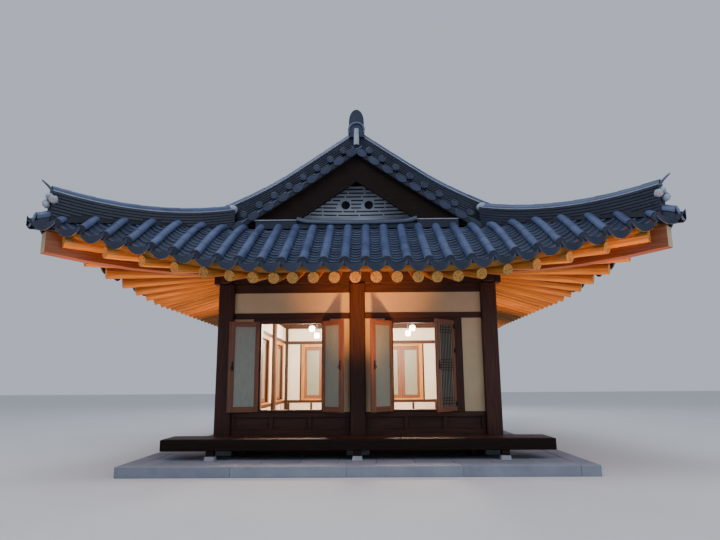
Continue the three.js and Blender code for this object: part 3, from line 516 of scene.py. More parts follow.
FINISHES = {
    "cover": fired_tile("cover_tile", (0.036, 0.052, 0.118), (0.100, 0.140, 0.270)),
    # Concave tiles: a darker copy of the cover tiles' clay, its darkness painted shade between the covers.
    "pan": fired_tile("concave_tile_painted_shade", (0.007, 0.011, 0.026), (0.024, 0.034, 0.070)),
    # Tile edges: a lighter copy of the same clay, a painted highlight where rims and thin plates catch the
    # sky.
    "edge": fired_tile("tile_edge_painted_highlight", (0.070, 0.095, 0.170), (0.170, 0.220, 0.350)),
    # End tiles: the darkest copy of the same clay, its darkness painted shade on drips, end discs and blocks
    # under the lips.
    "end": fired_tile("end_tile_painted_shade", (0.005, 0.009, 0.024), (0.017, 0.026, 0.060)),
    "ridge": fired_tile("ridge_tile", (0.014, 0.021, 0.046), (0.046, 0.064, 0.122)),
    "clay": mineral("bedding_clay", (0.014, 0.016, 0.024), (0.04, 0.044, 0.058), 3.0, 0.9, 0.5),
    "mortar": mineral("lime_mortar", (0.24, 0.27, 0.34), (0.46, 0.50, 0.58), 6.0, 0.85, 0.6),
    "plaster": mineral("cream_plaster", (0.46, 0.36, 0.21), (0.60, 0.50, 0.33), 1.6, 0.88, 0.25),
    "white": mineral("white_plaster", (0.66, 0.63, 0.56), (0.80, 0.77, 0.70), 1.4, 0.88, 0.22),
    "gable": mineral("gable_plaster", (0.42, 0.46, 0.53), (0.66, 0.71, 0.79), 3.5, 0.9, 0.6),
    "stone": mineral("granite", (0.17, 0.19, 0.24), (0.30, 0.33, 0.39), 2.0, 0.86, 0.45, 110.0),
    "base": mineral("base_granite", (0.28, 0.30, 0.33), (0.50, 0.52, 0.55), 5.0, 0.8, 0.55, 110.0),
    "stained": wood("stained_wood", (0.018, 0.0065, 0.0045), (0.078, 0.028, 0.016), gloss=0.3),
    "dark": wood("dark_stained_wood", (0.006, 0.0030, 0.0026), (0.024, 0.011, 0.008), 0.7, 0.5, 0.15),
    "sash": wood("sash_wood", (0.10, 0.034, 0.016), (0.26, 0.098, 0.048), 0.5),
    "pine": wood("oiled_pine", (0.32, 0.125, 0.018), (0.60, 0.285, 0.052), 0.5, 0.8),
    # Hip rafters: a darker, redder copy of the pine, partly a stain and partly painted shade on their sides.
    "red": wood("red_pine", (0.16, 0.044, 0.010), (0.32, 0.100, 0.024), 0.5, 0.7),
    "end_grain": end_grain(),
    "paper": paper(),
    "iron": iron(),
    "lamp": lamp_glass(),
}


# Shapes


class Shape:
    """Gathers closed bodies into one piece. Every point keeps its place in the grain."""

    def __init__(self):
        self.points = []
        self.grain = []
        self.faces = []
        self.finishes = []
        self.smooth = []

    def add(self, *patches):
        """Adds a closed body of patches, each (points, faces, finish, grain, smooth), turned outwards."""
        volume = 0.0
        for points, faces, *_ in patches:
            for face in faces:
                ax, ay, az = points[face[0]]
                for i, j in zip(face[1:], face[2:]):
                    (bx, by, bz), (cx, cy, cz) = points[i], points[j]
                    volume += ax * (by * cz - bz * cy) + ay * (bz * cx - bx * cz) + az * (bx * cy - by * cx)
        step = 1 if volume > 0 else -1
        for points, faces, finish, grain, smooth in patches:
            start = len(self.points)
            self.points.extend(points)
            self.grain.extend(grain)
            self.faces.extend([start + corner for corner in face[::step]] for face in faces)
            self.finishes.extend([finish] * len(faces))
            self.smooth.extend([smooth] * len(faces))

    def make(self, name, slot=None, *replaced):
        mesh = bpy.data.meshes.new(name)
        mesh.from_pydata([tuple(point) for point in self.points], [], self.faces)
        used = sorted(set(self.finishes))
        for finish in used:
            mesh.materials.append(FINISHES[finish])
        mesh.polygons.foreach_set("material_index", [used.index(finish) for finish in self.finishes])
        mesh.polygons.foreach_set("use_smooth", self.smooth)
        finished(name, mesh, [value for place in self.grain for value in place], replaced)


def finished(name, mesh, grain, replaced):
    """Gives a mesh its grain and puts it in the scene as a piece."""
    attribute = mesh.attributes.new("grain", "FLOAT_VECTOR", "POINT")
    attribute.data.foreach_set("vector", grain)
    mesh.validate()
    piece = placed(name, mesh)
    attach(piece, "root")
    if replaced:
        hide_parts(*replaced)


def block(shape, low, high, finish, axis=0, place=None, bevel=0.005):
    """Box with eased edges between two corners. Its grain runs along the given axis."""
    bevel = min(bevel, 0.3 * min(b - a for a, b in zip(low, high)))
    seed = random.random()
    shift = random.random() * 3
    points, grain, index = [], [], {}
    for normal in range(3):
        for corner in range(8):
            point = []
            for direction in range(3):
                inset = 0 if direction == normal else bevel
                is_high = corner >> direction & 1
                point.append(high[direction] - inset if is_high else low[direction] + inset)
            index[normal, corner] = len(points)
            first, second = [point[direction] for direction in range(3) if direction != axis]
            if normal == axis:
                grain.append((first * 9 + shift, second * 1.5, seed))
            else:
                grain.append((point[axis] + shift, first + second, seed))
            points.append(Vector(point))
    faces = [[index[normal, corner] for normal in range(3)] for corner in range(8)]
    for direction in range(3):
        first, second = [1 << other for other in range(3) if other != direction]
        for side in (0, 1 << direction):
            faces.append([index[direction, side | c] for c in (0, first, first | second, second)])
        a, b = [other for other in range(3) if other != direction]
        for near in (0, first, second, first | second):
            far = near | 1 << direction
            faces.append([index[a, near], index[a, far], index[b, far], index[b, near]])
    centre = (Vector(low) + Vector(high)) / 2
    for face in faces:
        one, two, three = (points[corner] for corner in face[:3])
        if (two - one).cross(three - one).dot(one + three - 2 * centre) < 0:
            face.reverse()
    if place is not None:
        points = [place @ point for point in points]
    shape.add((points, faces, finish, grain, False))


def even_grain(count, columns, seed):
    """Grain of a grid of points, with an even step along it and across it."""
    return [(i // columns * 0.3, i % columns * 0.1, seed) for i in range(count)]


def loft(shape, rings, finish, smooth=True, closed=False):
    """Body through closed rings of points, with flat ends or, if closed, joined into a loop."""
    seed = random.random()
    count = len(rings[0])
    points = [point for ring in rings for point in ring]
    faces = []
    for i in range(len(rings) if closed else len(rings) - 1):
        near, far = i * count, (i + 1) % len(rings) * count
        for j in range(count):
            k = (j + 1) % count
            faces.append([near + j, near + k, far + k, far + j])
    patches = [(points, faces, finish, even_grain(len(points), count, seed), smooth)]
    if not closed:
        order = list(range(count))
        flat = [(0.0, 0.0, seed)] * count
        patches.append((rings[0], [order[::-1]], finish, flat, False))
        patches.append((rings[-1], [order], finish, flat, False))
    shape.add(*patches)


def slab(shape, top, bottom, finish, smooth=True, grain=None, rim=None):
    """Closed body between two grids of points, with sharp rims."""
    rows, columns = len(top), len(top[0])
    seed = random.random()
    faces = []
    for i in range(rows - 1):
        for j in range(columns - 1):
            corner = i * columns + j
            faces.append([corner, corner + columns, corner + columns + 1, corner + 1])
    grain = grain or even_grain(rows * columns, columns, seed)
    border = [(0, j) for j in range(columns)] + [(i, columns - 1) for i in range(1, rows)]
    border += [(rows - 1, j) for j in range(columns - 2, -1, -1)] + [(i, 0) for i in range(rows - 2, 0, -1)]
    count = len(border)
    sides = [[i, (i + 1) % count, count + (i + 1) % count, count + i] for i in range(count)]
    shape.add(
        ([point for row in top for point in row], faces, finish, grain, smooth),
        ([point for row in bottom for point in row], [face[::-1] for face in faces], finish, grain, smooth),
        ([grid[i][j] for grid in (top, bottom) for i, j in border], sides, rim or finish,
         [(0.0, 0.0, seed)] * (2 * count), False),
    )


def sheet(shape, rows, depth, finish, rim=None):
    """Slab between a grid of points and the same grid set back by a vector."""
    slab(shape, rows, [[point - depth for point in row] for row in rows], finish, rim=rim)


def prism(shape, outline, depth, place, finish):
    """Outline of (x, z) points given thickness from y = 0 to y = depth."""
    loft(shape, [[place @ Vector((x, y, z)) for x, z in outline] for y in (0, depth)], finish, False)


def arc(centre, across, up, radius, spread):
    angles = [math.radians(spread * share) for share in evenly(COVER_STEPS)]
    return [centre + (across * math.sin(angle) + up * math.cos(angle)) * radius for angle in angles]


def half_tile(shape, stations, finish, thickness=COVER_THICKNESS, spread=98):
    """Half-round tile through stations of (centre, across, up, radius)."""
    top = [arc(centre, across, up, radius, spread) for centre, across, up, radius in stations]
    bottom = [arc(centre, across, up, radius - thickness, spread) for centre, across, up, radius in stations]
    slab(shape, top, bottom, finish)


def circle(place, radius, y, sides, squash=1.0):
    """Ring of points in a plane that faces -y of its place."""
    places = [(radius * math.cos(turn), y, radius * squash * math.sin(turn)) for turn in round_turns(sides)]
    return [place @ Vector(point) for point in places]


def disc(shape, place, radius, finish="end", squash=1.0):
    """Round end tile that faces -y of its place, with a raised rim."""
    # By default the disc takes the darkest tile finish, as painted shade on the end tiles.
    profile = [(radius - inset, y) for inset, y in DISC_PROFILE] + [DISC_BOSS]
    loft(shape, [circle(place, size, y, DISC_SIDES, squash) for size, y in profile], finish, False)


def round_log(shape, start, end, radius, finish, ends, sides=RAFTER_SIDES):
    """Round log with end grain on its ends."""
    along = (end - start).normalized()
    across = along.cross(UP).normalized()
    up = across.cross(along)
    length = (end - start).length
    seed = random.random()
    turns = [2 * math.pi * i / sides for i in range(sides + 1)]
    spokes = [(across * math.cos(turn) + up * math.sin(turn)) * radius for turn in turns]
    points = [place + spoke for place in (start, end) for spoke in spokes]
    grain = [(distance + seed * 5, turn * radius, seed) for distance in (0, length) for turn in turns]
    faces = [[i, i + 1, sides + 2 + i, sides + 1 + i] for i in range(sides)]
    patches = [(points, faces, finish, grain, True)]
    flat = [(0, 0, seed)] + [(math.cos(turn), math.sin(turn), seed) for turn in turns[:-1]]
    for place, step in ((start, -1), (end, 1)):
        fan = [[0, 1 + i, 1 + (i + 1) % sides][::step] for i in range(sides)]
        patches.append(([place] + [place + spoke for spoke in spokes[:-1]], fan, ends, flat, False))
    shape.add(*patches)


def mortar_lump(shape, centre, size, sides, swell):
    """Egg-shaped lump with a half size along each axis, its skin pushed out or in at random."""
    loops = []
    for i in range(LUMP_RINGS + 1):
        tilt = math.pi * (0.04 + 0.92 * i / LUMP_RINGS)
        loop = []
        for turn in round_turns(sides):
            push = 1 + random.uniform(-swell, swell)
            offset = (math.sin(tilt) * math.cos(turn), math.sin(tilt) * math.sin(turn), math.cos(tilt))
            loop.append(Vector(centre) + Vector([a * b * push for a, b in zip(offset, size)]))
        loops.append(loop)
    loft(shape, loops, "mortar")


# Sides of the house


class Side:
    """One side of the house, drawn as if it were the front and turned into its place."""

    def __init__(self, name, turn, half, depth, gable):
        self.name = name
        self.turn = turn
        self.half = half
        self.depth = depth
        self.gable = gable
        self.across = Vector((round(math.cos(turn)), round(math.sin(turn)), 0))
        self.outward = Vector((self.across.y, -self.across.x, 0))

    def point(self, along, out, z):
        reach = self.depth + out
        x = self.across.x * along + self.outward.x * reach
        y = self.across.y * along + self.outward.y * reach
        return Vector((x, y, z))

    def matrix(self, along=0.0, out=0.0, z=0.0):
        """Place of a wall or fitting: its x runs along the side and its -y outwards."""
        return Matrix.Translation(self.point(along, out, z)) @ Matrix.Rotation(self.turn, 4, "Z")


SIDES = [
    Side("front", 0.0, HALF_WIDTH, HALF_DEPTH, True),
    Side("right", math.pi / 2, HALF_DEPTH, HALF_WIDTH, False),
    Side("back", math.pi, HALF_WIDTH, HALF_DEPTH, True),
    Side("left", -math.pi / 2, HALF_DEPTH, HALF_WIDTH, False),
]
GABLE_SIDES = [side for side in SIDES if side.gable]


# Roof surface


def slope_height(out):
    return SURFACE_AT_WALL - PITCH_AT_WALL * out + HOLLOWING * out * out


def eave_line(past):
    share = max(0, (past - PLAN_CURVE_START) / (CORNER_REACH - PLAN_CURVE_START))
    return EAVE_REACH + (CORNER_REACH - EAVE_REACH) * share**2


def fan_tip(past, out):
    """Where the line of a fanned rafter that passes under a point meets the line of the rafter tips."""
    tip = past
    if out >= eave_line(past) - TILE_OVERHANG:
        return tip
    for _ in range(8):
        length = eave_line(tip) - TILE_OVERHANG + RING_INSET
        tip = (past + RING_INSET) * length / (out + RING_INSET) - RING_INSET
    return tip


def surface_height(past, out):
    height = slope_height(out)
    if past <= -RING_INSET or out <= LIFT_RAMP_START:
        return height
    tip = fan_tip(past, out)
    reach = max(0, (tip - LIFT_START) / (CORNER_REACH - LIFT_START))
    ramp = min(1, (out - LIFT_RAMP_START) / (eave_line(tip) - TILE_OVERHANG - LIFT_RAMP_START))
    return height + CORNER_LIFT * reach**LIFT_POWER * ramp * (1 + LIFT_FULLNESS * (1 - ramp))


def rafter_tip_height(past):
    return surface_height(past, eave_line(past) - TILE_OVERHANG) - SHELL_DEPTH - BOARD + BOARD_SINK


def corner_tip():
    past = CORNER_REACH
    for _ in range(30):
        past = eave_line(past) - TILE_OVERHANG
    return past


# Tiles


def top_of_column(side, past):
    """How far up the slope a column of tiles runs."""
    if past > VERGE_REACH - 0.02:
        return past
    if side.gable:
        return max(0.0, past + MITRE_UNDERLAP)
    return RIDGE_OUT + 0.05


def tile_columns(side, offset):
    """Places of the tile columns along a side, in pairs out from its middle."""
    places = []
    place = offset
    while place < side.half + CORNER_REACH - 0.04:
        places += [place, -place] if place else [place]
        place += TILE_PITCH
    return places


def within_corner(side, along):
    reach = side.half + CORNER_REACH
    return min(max(along, -reach), reach)


def on_slope(side, along, out, lift):
    along = within_corner(side, along)
    past = abs(along) - side.half
    out = max(out, past) if past > VERGE_REACH else out
    out = min(out, eave_line(past), CORNER_REACH)
    return side.point(along, out, surface_height(past, out) + lift)


def pan_lift(share):
    return -PAN_DEPTH + PAN_RISE * share * share


def pan_column(shape, side, centre):
    """Concave tiles in close courses, each tilted over the one below."""
    past = abs(centre) - side.half
    near = eave_line(past)
    high = top_of_column(side, past)
    while near > high + 0.03:
        wobble = random.uniform(-0.002, 0.002)
        rows = []
        for out, tilt in ((near, PAN_TILT), (near - PAN_LENGTH, -0.6 * PAN_TILT)):
            lifts = [(share, pan_lift(share) + tilt + wobble) for share in evenly(PAN_STEPS)]
            rows.append([on_slope(side, centre + share * PAN_HALF, out, lift) for share, lift in lifts])
        # Body in the dark concave finish as painted shade, rim in the edge finish as a painted highlight.
        sheet(shape, rows, UP * PAN_THICKNESS, "pan", "edge")
        near -= PAN_COURSE


def cover_column(shape, side, centre):
    """Half-round tiles over the joints between the concave ones."""
    past = abs(centre) - side.half
    near = eave_line(past)
    high = top_of_column(side, past)
    while near > high + 0.05:
        far = max(near - COVER_LENGTH, high - 0.05)
        wide = COVER_RADIUS + random.uniform(-0.0006, 0.0006)
        stations = []
        for share in (0.0, 0.5, 1.0):
            out = near + (far - near) * share
            radius = wide - COVER_TAPER * share * (near - far) / COVER_COURSE
            place = side.point(centre, out, surface_height(past, out) + COVER_LIFT)
            stations.append((place, side.across, UP, radius))
        half_tile(shape, stations, "cover")
        near -= COVER_COURSE


def drip_end(shape, side, centre):
    """Rounded drip plate that hangs at the lower end of a column of concave tiles."""
    height = surface_height(abs(centre) - side.half, eave_line(abs(centre) - side.half))
    front, back = [], []
    for drop in (0.0, 0.5, 1.0):
        for grid, push in zip((front, back), DRIP_FACES):
            row = []
            for share in evenly(DRIP_STEPS):
                along = within_corner(side, centre + share * (PAN_HALF + 0.006))
                upper = pan_lift(share) + PAN_TILT
                lower = -DRIP_DEPTH + DRIP_RISE * share * share
                lift = upper + (lower - upper) * drop
                out = eave_line(abs(along) - side.half) + DRIP_LEAN * drop + push
                row.append(side.point(along, min(out, CORNER_REACH), height + lift))
            grid.append(row)
    # Plate in the darkest tile finish as painted shade, rim in the edge finish as a painted highlight.
    slab(shape, front, back, "end", False, rim="edge")


def roof_bed(shape, side):
    """Clay bed and boards under the tiles, down to the underside of the roof."""
    shares = evenly(48)
    top_out = GABLE_FACE if side.gable else RIDGE_OUT
    top, bottom = [], []
    for i in range(7):
        out = top_out + (VERGE_REACH - top_out) * i / 6
        half = side.half + VERGE_REACH
        if side.gable:
            half = side.half + out - 0.3 * (1 - i / 6)
        line = [side.point(share * half, out, slope_height(out)) for share in shares]
        top.append([point - UP * BED_DROP for point in line])
        bottom.append([point - UP * SHELL_DEPTH for point in line])
    for i in range(1, 9):
        step = i / 8
        line = []
        for share in shares:
            near = share * (side.half + VERGE_REACH)
            far = share * (side.half + CORNER_REACH - BED_INSET)
            along = near + (far - near) * step
            eave = eave_line(abs(far) - side.half) - BED_INSET
            out = VERGE_REACH + (eave - VERGE_REACH) * step
            line.append(side.point(along, out, surface_height(abs(along) - side.half, out)))
        top.append([point - UP * BED_DROP for point in line])
        bottom.append([point - UP * (SHELL_DEPTH - BED_THINNING * step**4) for point in line])
    slab(shape, top, bottom, "clay")


def tiled_slope(side):
    shape = Shape()
    roof_bed(shape, side)
    for centre in tile_columns(side, 0.0):
        pan_column(shape, side, centre)
        drip_end(shape, side, centre)
    for centre in tile_columns(side, TILE_PITCH / 2):
        past = abs(centre) - side.half
        eave = eave_line(past)
        if eave - past < SHORTEST_COVER:
            continue
        cover_column(shape, side, centre)
        place = side.matrix(centre, eave + DISC_STAND, surface_height(past, eave) + COVER_LIFT)
        disc(shape, place, DISC_RADIUS)
    shape.make(f"{side.name}_tiles", "roof_tile", f"{side.name}_roof")


def eave_batten(side):
    """Batten under the lower edge of the tiles, scalloped to fit them, with a horn under each cover tile."""
    shape = Shape()
    count = int((side.half + corner_tip() - 0.01) / TILE_PITCH * BATTEN_STEPS)
    alongs = [i * TILE_PITCH / BATTEN_STEPS for i in range(-count, count + 1)]
    grids = []
    for push in BATTEN_FACES:
        upper, lower = [], []
        for along in alongs:
            past = abs(along) - side.half
            out = eave_line(past) - TILE_OVERHANG + push
            place = abs(along) / TILE_PITCH % 1.0
            share = 2 * min(place, 1 - place)
            horn = max(0, share - HORN_START) / (1 - HORN_START)
            lift = pan_lift(share) - PAN_THICKNESS - 0.004 + HORN_HEIGHT * horn * horn
            upper.append(side.point(along, out, surface_height(past, out) + lift))
            lower.append(side.point(along, out, rafter_tip_height(past) + BOARD - BOARD_SINK))
        grids.append([upper, lower])
    grain = [(along, 0.0, 0.4) for _ in range(2) for along in alongs]
    slab(shape, *grids, "pine", False, grain)
    shape.make(f"{side.name}_eave_batten", "pine")


# Rafters

RAFTER_SLOPE = (RAFTER_TOP_AT_WALL - rafter_tip_height(-HALF_DEPTH)) / (EAVE_REACH - TILE_OVERHANG)
RAFTER_TOP_AT_RING = RAFTER_TOP_AT_WALL + RAFTER_SLOPE * RING_INSET


def rafter_tips(half):
    """Rafter lines of one side, from its middle out, as the tip's distance past the corner column."""
    run = half + FAN_START
    straight = round(run / RAFTER_PITCH)
    tips = [i * run / straight - half for i in range(straight + 1)]
    for i in range(1, FAN_RAFTERS + 1):
        share = (FAN_GROWTH**i - 1) / (FAN_GROWTH**FAN_RAFTERS - 1)
        tips.append(FAN_START + (FAN_END - FAN_START) * share)
    return tips


def rafter_line(tip, half):
    """Tip, wall crossing and inner end of a rafter line, each as (along, out, top height)."""
    tip_out = eave_line(tip) - TILE_OVERHANG
    wall = ring = tip
    if tip > FAN_START + 1e-9:
        wall = RING_INSET * (tip + RING_INSET) / (RING_INSET + tip_out) - RING_INSET
        ring = FAN_START - (tip - FAN_START) / (corner_tip() - FAN_START) * (RING_INSET + FAN_START)
    return {
        "tip": (tip + half, tip_out, rafter_tip_height(tip)),
        "wall": (wall + half, 0.0, RAFTER_TOP_AT_WALL),
        "ring": (ring + half, -RING_INSET, RAFTER_TOP_AT_RING),
    }


def eaves(side):
    """Round rafters under the eaves boards."""
    shape = Shape()
    tips = rafter_tips(side.half)
    lines = [rafter_line(tip, side.half) for tip in [*tips, corner_tip() - 0.006]]
    ordered = [(-1, line) for line in lines[:0:-1]] + [(1, line) for line in lines]
    top, bottom, grain = [], [], []
    for row in ("ring", "wall", "tip"):
        places = [(flip * line[row][0], line[row][1], line[row][2]) for flip, line in ordered]
        top.append([side.point(along, out, height + BOARD - BOARD_SINK) for along, out, height in places])
        bottom.append([side.point(along, out, height - BOARD_SINK) for along, out, height in places])
        grain += [(out, along, 0.3) for along, out, _ in places]
    slab(shape, top, bottom, "pine", False, grain)
    for tip, line in zip(tips, lines):
        for flip in (-1, 1) if line["tip"][0] else (1,):
            tip_place, wall, root = (
                side.point(flip * along, out, height - RAFTER_RADIUS)
                for along, out, height in (line["tip"], line["wall"], line["ring"])
            )
            if tip > FAN_START + 1e-9:
                root = wall + (tip_place - wall) * (-FAN_ROOT / line["tip"][1])
            round_log(shape, root, tip_place, RAFTER_RADIUS, "pine", "end_grain")
    shape.make(f"{side.name}_rafters", "pine", f"{side.name}_eaves")


def softened(node, name, finish, direction, width=0.006, ends=None):
    """Copy of a node with eased edges, and its grain along a direction."""
    mesh = bpy.data.meshes.new(name)
    work = bmesh.new()
    work.from_mesh(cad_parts[node].data)
    bmesh.ops.remove_doubles(work, verts=work.verts, dist=1e-5)
    bmesh.ops.dissolve_limit(work, angle_limit=math.radians(1), verts=work.verts, edges=work.edges)
    folds = [edge for edge in work.edges if len(edge.link_faces) == 2]
    sharp = [edge for edge in folds if edge.calc_face_angle() > math.radians(30)]
    bmesh.ops.bevel(work, geom=sharp, offset=width, segments=2, affect="EDGES", profile=0.6)
    work.to_mesh(mesh)
    work.free()
    along = Vector(direction).normalized()
    across = along.cross(UP)
    seed = random.random()
    grain = []
    for vertex in mesh.vertices:
        grain += [vertex.co.dot(along) + 9 * seed, vertex.co.dot(across) + vertex.co.z, seed]
    mesh.materials.append(FINISHES[finish])
    mesh.materials.append(FINISHES[ends or finish])
    for polygon in mesh.polygons:
        polygon.material_index = int(abs(polygon.normal.dot(along)) > 0.9)
    finished(name, mesh, grain, [node])


def hip_rafters():
    corners = (("front_left", -1, -1), ("front_right", 1, -1), ("back_right", 1, 1), ("back_left", -1, 1))
    for place, x, y in corners:
        node, piece = f"hip_rafter_{place}", f"hip_rafter_timber_{place}"
        # Sides in the redder pine, whose depth is partly painted shade.
        softened(node, piece, "red", (x, y, 0), 0.008, "plaster")


# Ridges


def hip_ridge_top(out):
    return HIP_RIDGE_LOW + HIP_RIDGE_BEND * (out - HIP_RIDGE_LOW_AT) ** 2


class RidgeLine:
    """Line along a ridge: stations of (point, foot, top)."""

    def __init__(self, stations):
        self.stations = stations
        self.lengths = [0.0]
        for (a, _, _), (b, _, _) in zip(stations, stations[1:]):
            self.lengths.append(self.lengths[-1] + (b - a).length)
        self.length = self.lengths[-1]

    def at(self, distance):
        """Point on the line, the way across it, its foot and its top."""
        distance = min(max(distance, 0), self.length)
        i = 0
        while i + 2 < len(self.lengths) and self.lengths[i + 1] < distance:
            i += 1
        share = (distance - self.lengths[i]) / (self.lengths[i + 1] - self.lengths[i])
        (a, foot_a, top_a), (b, foot_b, top_b) = self.stations[i : i + 2]
        along = (b - a).normalized()
        across = Vector((-along.y, along.x, 0))
        return a.lerp(b, share), across, foot_a + (foot_b - foot_a) * share, top_a + (top_b - top_a) * share


def ridge_band(shape, line, start, end, half, low, high, finish, step=0.3):
    """Length of a course between two depths below the top, or down to the foot if low is None."""
    count = max(1, math.ceil((end - start) / step))
    rings = []
    for i in range(count + 1):
        place, across, foot, top = line.at(start + (end - start) * i / count)
        base = foot - 0.10 - top if low is None else -low
        corners = [(-half, base), (half, base), (half, -high), (-half, -high)]
        rings.append([place + across * x + UP * (top + z) for x, z in corners])
    loft(shape, rings, finish, smooth=False)


def stacked_ridge(shape, line, half, radius, start=0.0, end=None):
    """Ridge of flat tile courses under half-round cap tiles, with a pale line of mortar between."""
    end = line.length if end is None else end
    body = radius + 0.012
    ridge_band(shape, line, start, end, half - 0.009, None, body, "clay", 0.15)
    ridge_band(shape, line, start, end, half + 0.006, body + MORTAR_LINE, body, "mortar", 0.15)
    for course in range(RIDGE_COURSES):
        high = body + 0.022 + course * RIDGE_COURSE
        stops = [start]
        while stops[-1] < end - 0.01:
            first_half = course % 2 and len(stops) == 1
            length = RIDGE_TILE_LENGTH / 2 if first_half else RIDGE_TILE_LENGTH
            stops.append(min(stops[-1] + length, end))
        for near, far in zip(stops, stops[1:]):
            _, _, foot, top = line.at((near + far) / 2)
            if top - high > foot:
                reach = half + random.uniform(-0.003, 0.003)
                near, far = near + RIDGE_JOINT_HALF, far - RIDGE_JOINT_HALF
                # Courses in the dark concave finish as painted shade on their sides.
                ridge_band(shape, line, near, far, reach, high + RIDGE_TILE_DEPTH, high, "pan")
    place = start
    while place < end - 0.02:
        stop = min(place + CAP_TILE_LENGTH, end)
        stations = []
        for share in (0.0, 0.5, 1.0):
            middle, across, _, top = line.at(place + (stop + 0.01 - place) * share)
            stations.append((middle + UP * (top - radius), across, UP, radius - COVER_TAPER * share))
        half_tile(shape, stations, "cover", CAP_TILE_THICKNESS, CAP_TILE_SPREAD)
        place = stop


def hip_line(side, flip):
    stations = []
    for i in range(RIDGE_STATIONS + 1):
        out = HIP_RIDGE_END * i / RIDGE_STATIONS
        foot = surface_height(out, out)
        stations.append((side.point(flip * (side.half + out), out, 0), foot, hip_ridge_top(out)))
    return RidgeLine(stations)


def gable_line(side, flip):
    """Ridge down one slope of a gable, which sweeps up at its foot and runs into the hip ridge's top."""
    stations = []
    for i in range(RIDGE_STATIONS + 1):
        out = RIDGE_OUT + (GABLE_RIDGE_END - RIDGE_OUT) * i / RIDGE_STATIONS
        place = side.point(flip * (side.half + out), VERGE_RIDGE_OUT - RIDGE_HALF, 0)
        sweep = RIDGE_SWEEP * max(0.0, out + SWEEP_LENGTH) ** 1.5
        stations.append((place, slope_height(out), slope_height(out) + RIDGE_HEIGHT + sweep))
    return RidgeLine(stations)


def hip_end(shape, side, flip):
    """End of a hip ridge: thin upswept tile, lumps of mortar and the tiles that wrap the corner."""
    line = hip_line(side, flip)
    place, across, foot, top = line.at(line.length)
    outward = (side.across * flip + side.outward).normalized()
    toward = across * (1 if across.dot(side.outward) > 0 else -1)
    upswept_tile(shape, place, across, outward, top)
    for shift, push, drop, size in HIP_LUMPS:
        centre = place + toward * shift + outward * push + UP * (top - drop)
        mortar_lump(shape, centre, (size, size, size * 0.9), 10, 0.16)
    corner_wrap(shape, place, across, outward, foot)


def upswept_tile(shape, place, across, outward, top):
    """Thin tile that curves up and narrows beyond the end of a hip ridge."""
    rows = []
    for i in range(9):
        share = i / 8
        reach = UPSWEEP_REACH * share**1.7 - 0.025
        centre = place + outward * reach + UP * (top - 0.14 + UPSWEEP_RISE * share**0.8)
        half = UPSWEEP_HALF * (1 - share) ** 0.7 + 0.004
        rows.append([centre + across * half * t - UP * 0.02 * t * t for t in evenly(4)])
    sheet(shape, rows, outward * 0.012, "edge")


def corner_wrap(shape, place, across, outward, foot):
    """Tile over the corner of the eaves, its dark filling and the small plate that hangs before it."""
    stations, rings = [], []
    for reach, crown in WRAP_STATIONS:
        centre = place + outward * reach + UP * (foot + crown - WRAP_RADIUS)
        stations.append((centre, across, UP, WRAP_RADIUS))
        shoulder = crown - 0.09
        corners = [(-WRAP_HALF, -WRAP_DEPTH), (WRAP_HALF, -WRAP_DEPTH)]
        corners += [(WRAP_HALF - 0.01, shoulder), (0.0, crown - 0.02), (0.01 - WRAP_HALF, shoulder)]
        rings.append([place + outward * (reach - 0.01) + across * x + UP * (foot + z) for x, z in corners])
    half_tile(shape, stations, "cover", CAP_TILE_THICKNESS)
    # Filling in the darkest tile finish as painted shade under the wrapping tile.
    loft(shape, rings, "end", False)
    rows = []
    for i in range(9):
        share = i / 8
        half = CORNER_PLATE_HALF * math.sin(math.pi * (0.2 + 0.7 * share))
        drop = 0.05 - CORNER_PLATE_DROP * share
        centre = place + outward * (0.190 + 0.08 * share) + UP * (foot + drop)
        rows.append([centre + across * half * t - outward * 0.01 * t * t for t in evenly(4)])
    sheet(shape, rows, outward * 0.020, "edge")


def end_ridges(side):
    shape = Shape()
    for flip in (-1, 1):
        hip = hip_line(side, flip)
        for line in (gable_line(side, flip), hip):
            stacked_ridge(shape, line, RIDGE_HALF, RIDGE_CAP_RADIUS)
        hip_end(shape, side, flip)
        place, _, _, top = hip.at(0.0)
        mortar_lump(shape, place + UP * (top - 0.10), HIP_START_LUMP, 12, 0.06)
    shape.make(f"{side.name}_ridge_tiles", "roof_tile", f"{side.name}_ridges")


def verge_tiles(side):
    """Short tiles laid across the verge of the main slopes, with discs and oval drips on the gable."""
    shape = Shape()
    face = VERGE_REACH + VERGE_STAND
    for flip in (-1, 1):
        out = RIDGE_OUT + 0.25
        while out < 0.05:
            slope = 2 * HOLLOWING * out - PITCH_AT_WALL
            length = (VERGE_PITCH + VERGE_PITCH_GAIN * (1 - out / RIDGE_OUT)) / math.hypot(1, slope)
            tilt = Matrix.Rotation(-math.atan(slope) * flip, 4, "Y")
            middle = out - length / 2
            low = side.matrix(flip * (side.half + middle), face - 0.004, slope_height(middle) - 0.012)
            verge_drip(shape, low @ tilt)
            if out < -0.02:
                height = slope_height(out) + VERGE_COVER_RADIUS
                place = side.matrix(flip * (side.half + out), face, height) @ tilt
                cover_across(shape, place)
                disc(shape, place, VERGE_DISC_RADIUS, "ridge")
            out += length
    shape.make(f"{side.name}_verge_tiles", "roof_tile")


def cover_across(shape, place):
    """Half-round tile that runs back from the verge, along +y."""
    turn = place.to_3x3()
    across, up = turn @ Vector((1, 0, 0)), turn @ UP
    centres = [place @ Vector((0, VERGE_COVER_LENGTH * share, 0)) for share in (0, 0.5, 1)]
    half_tile(shape, [(centre, across, up, VERGE_COVER_RADIUS) for centre in centres], "cover")


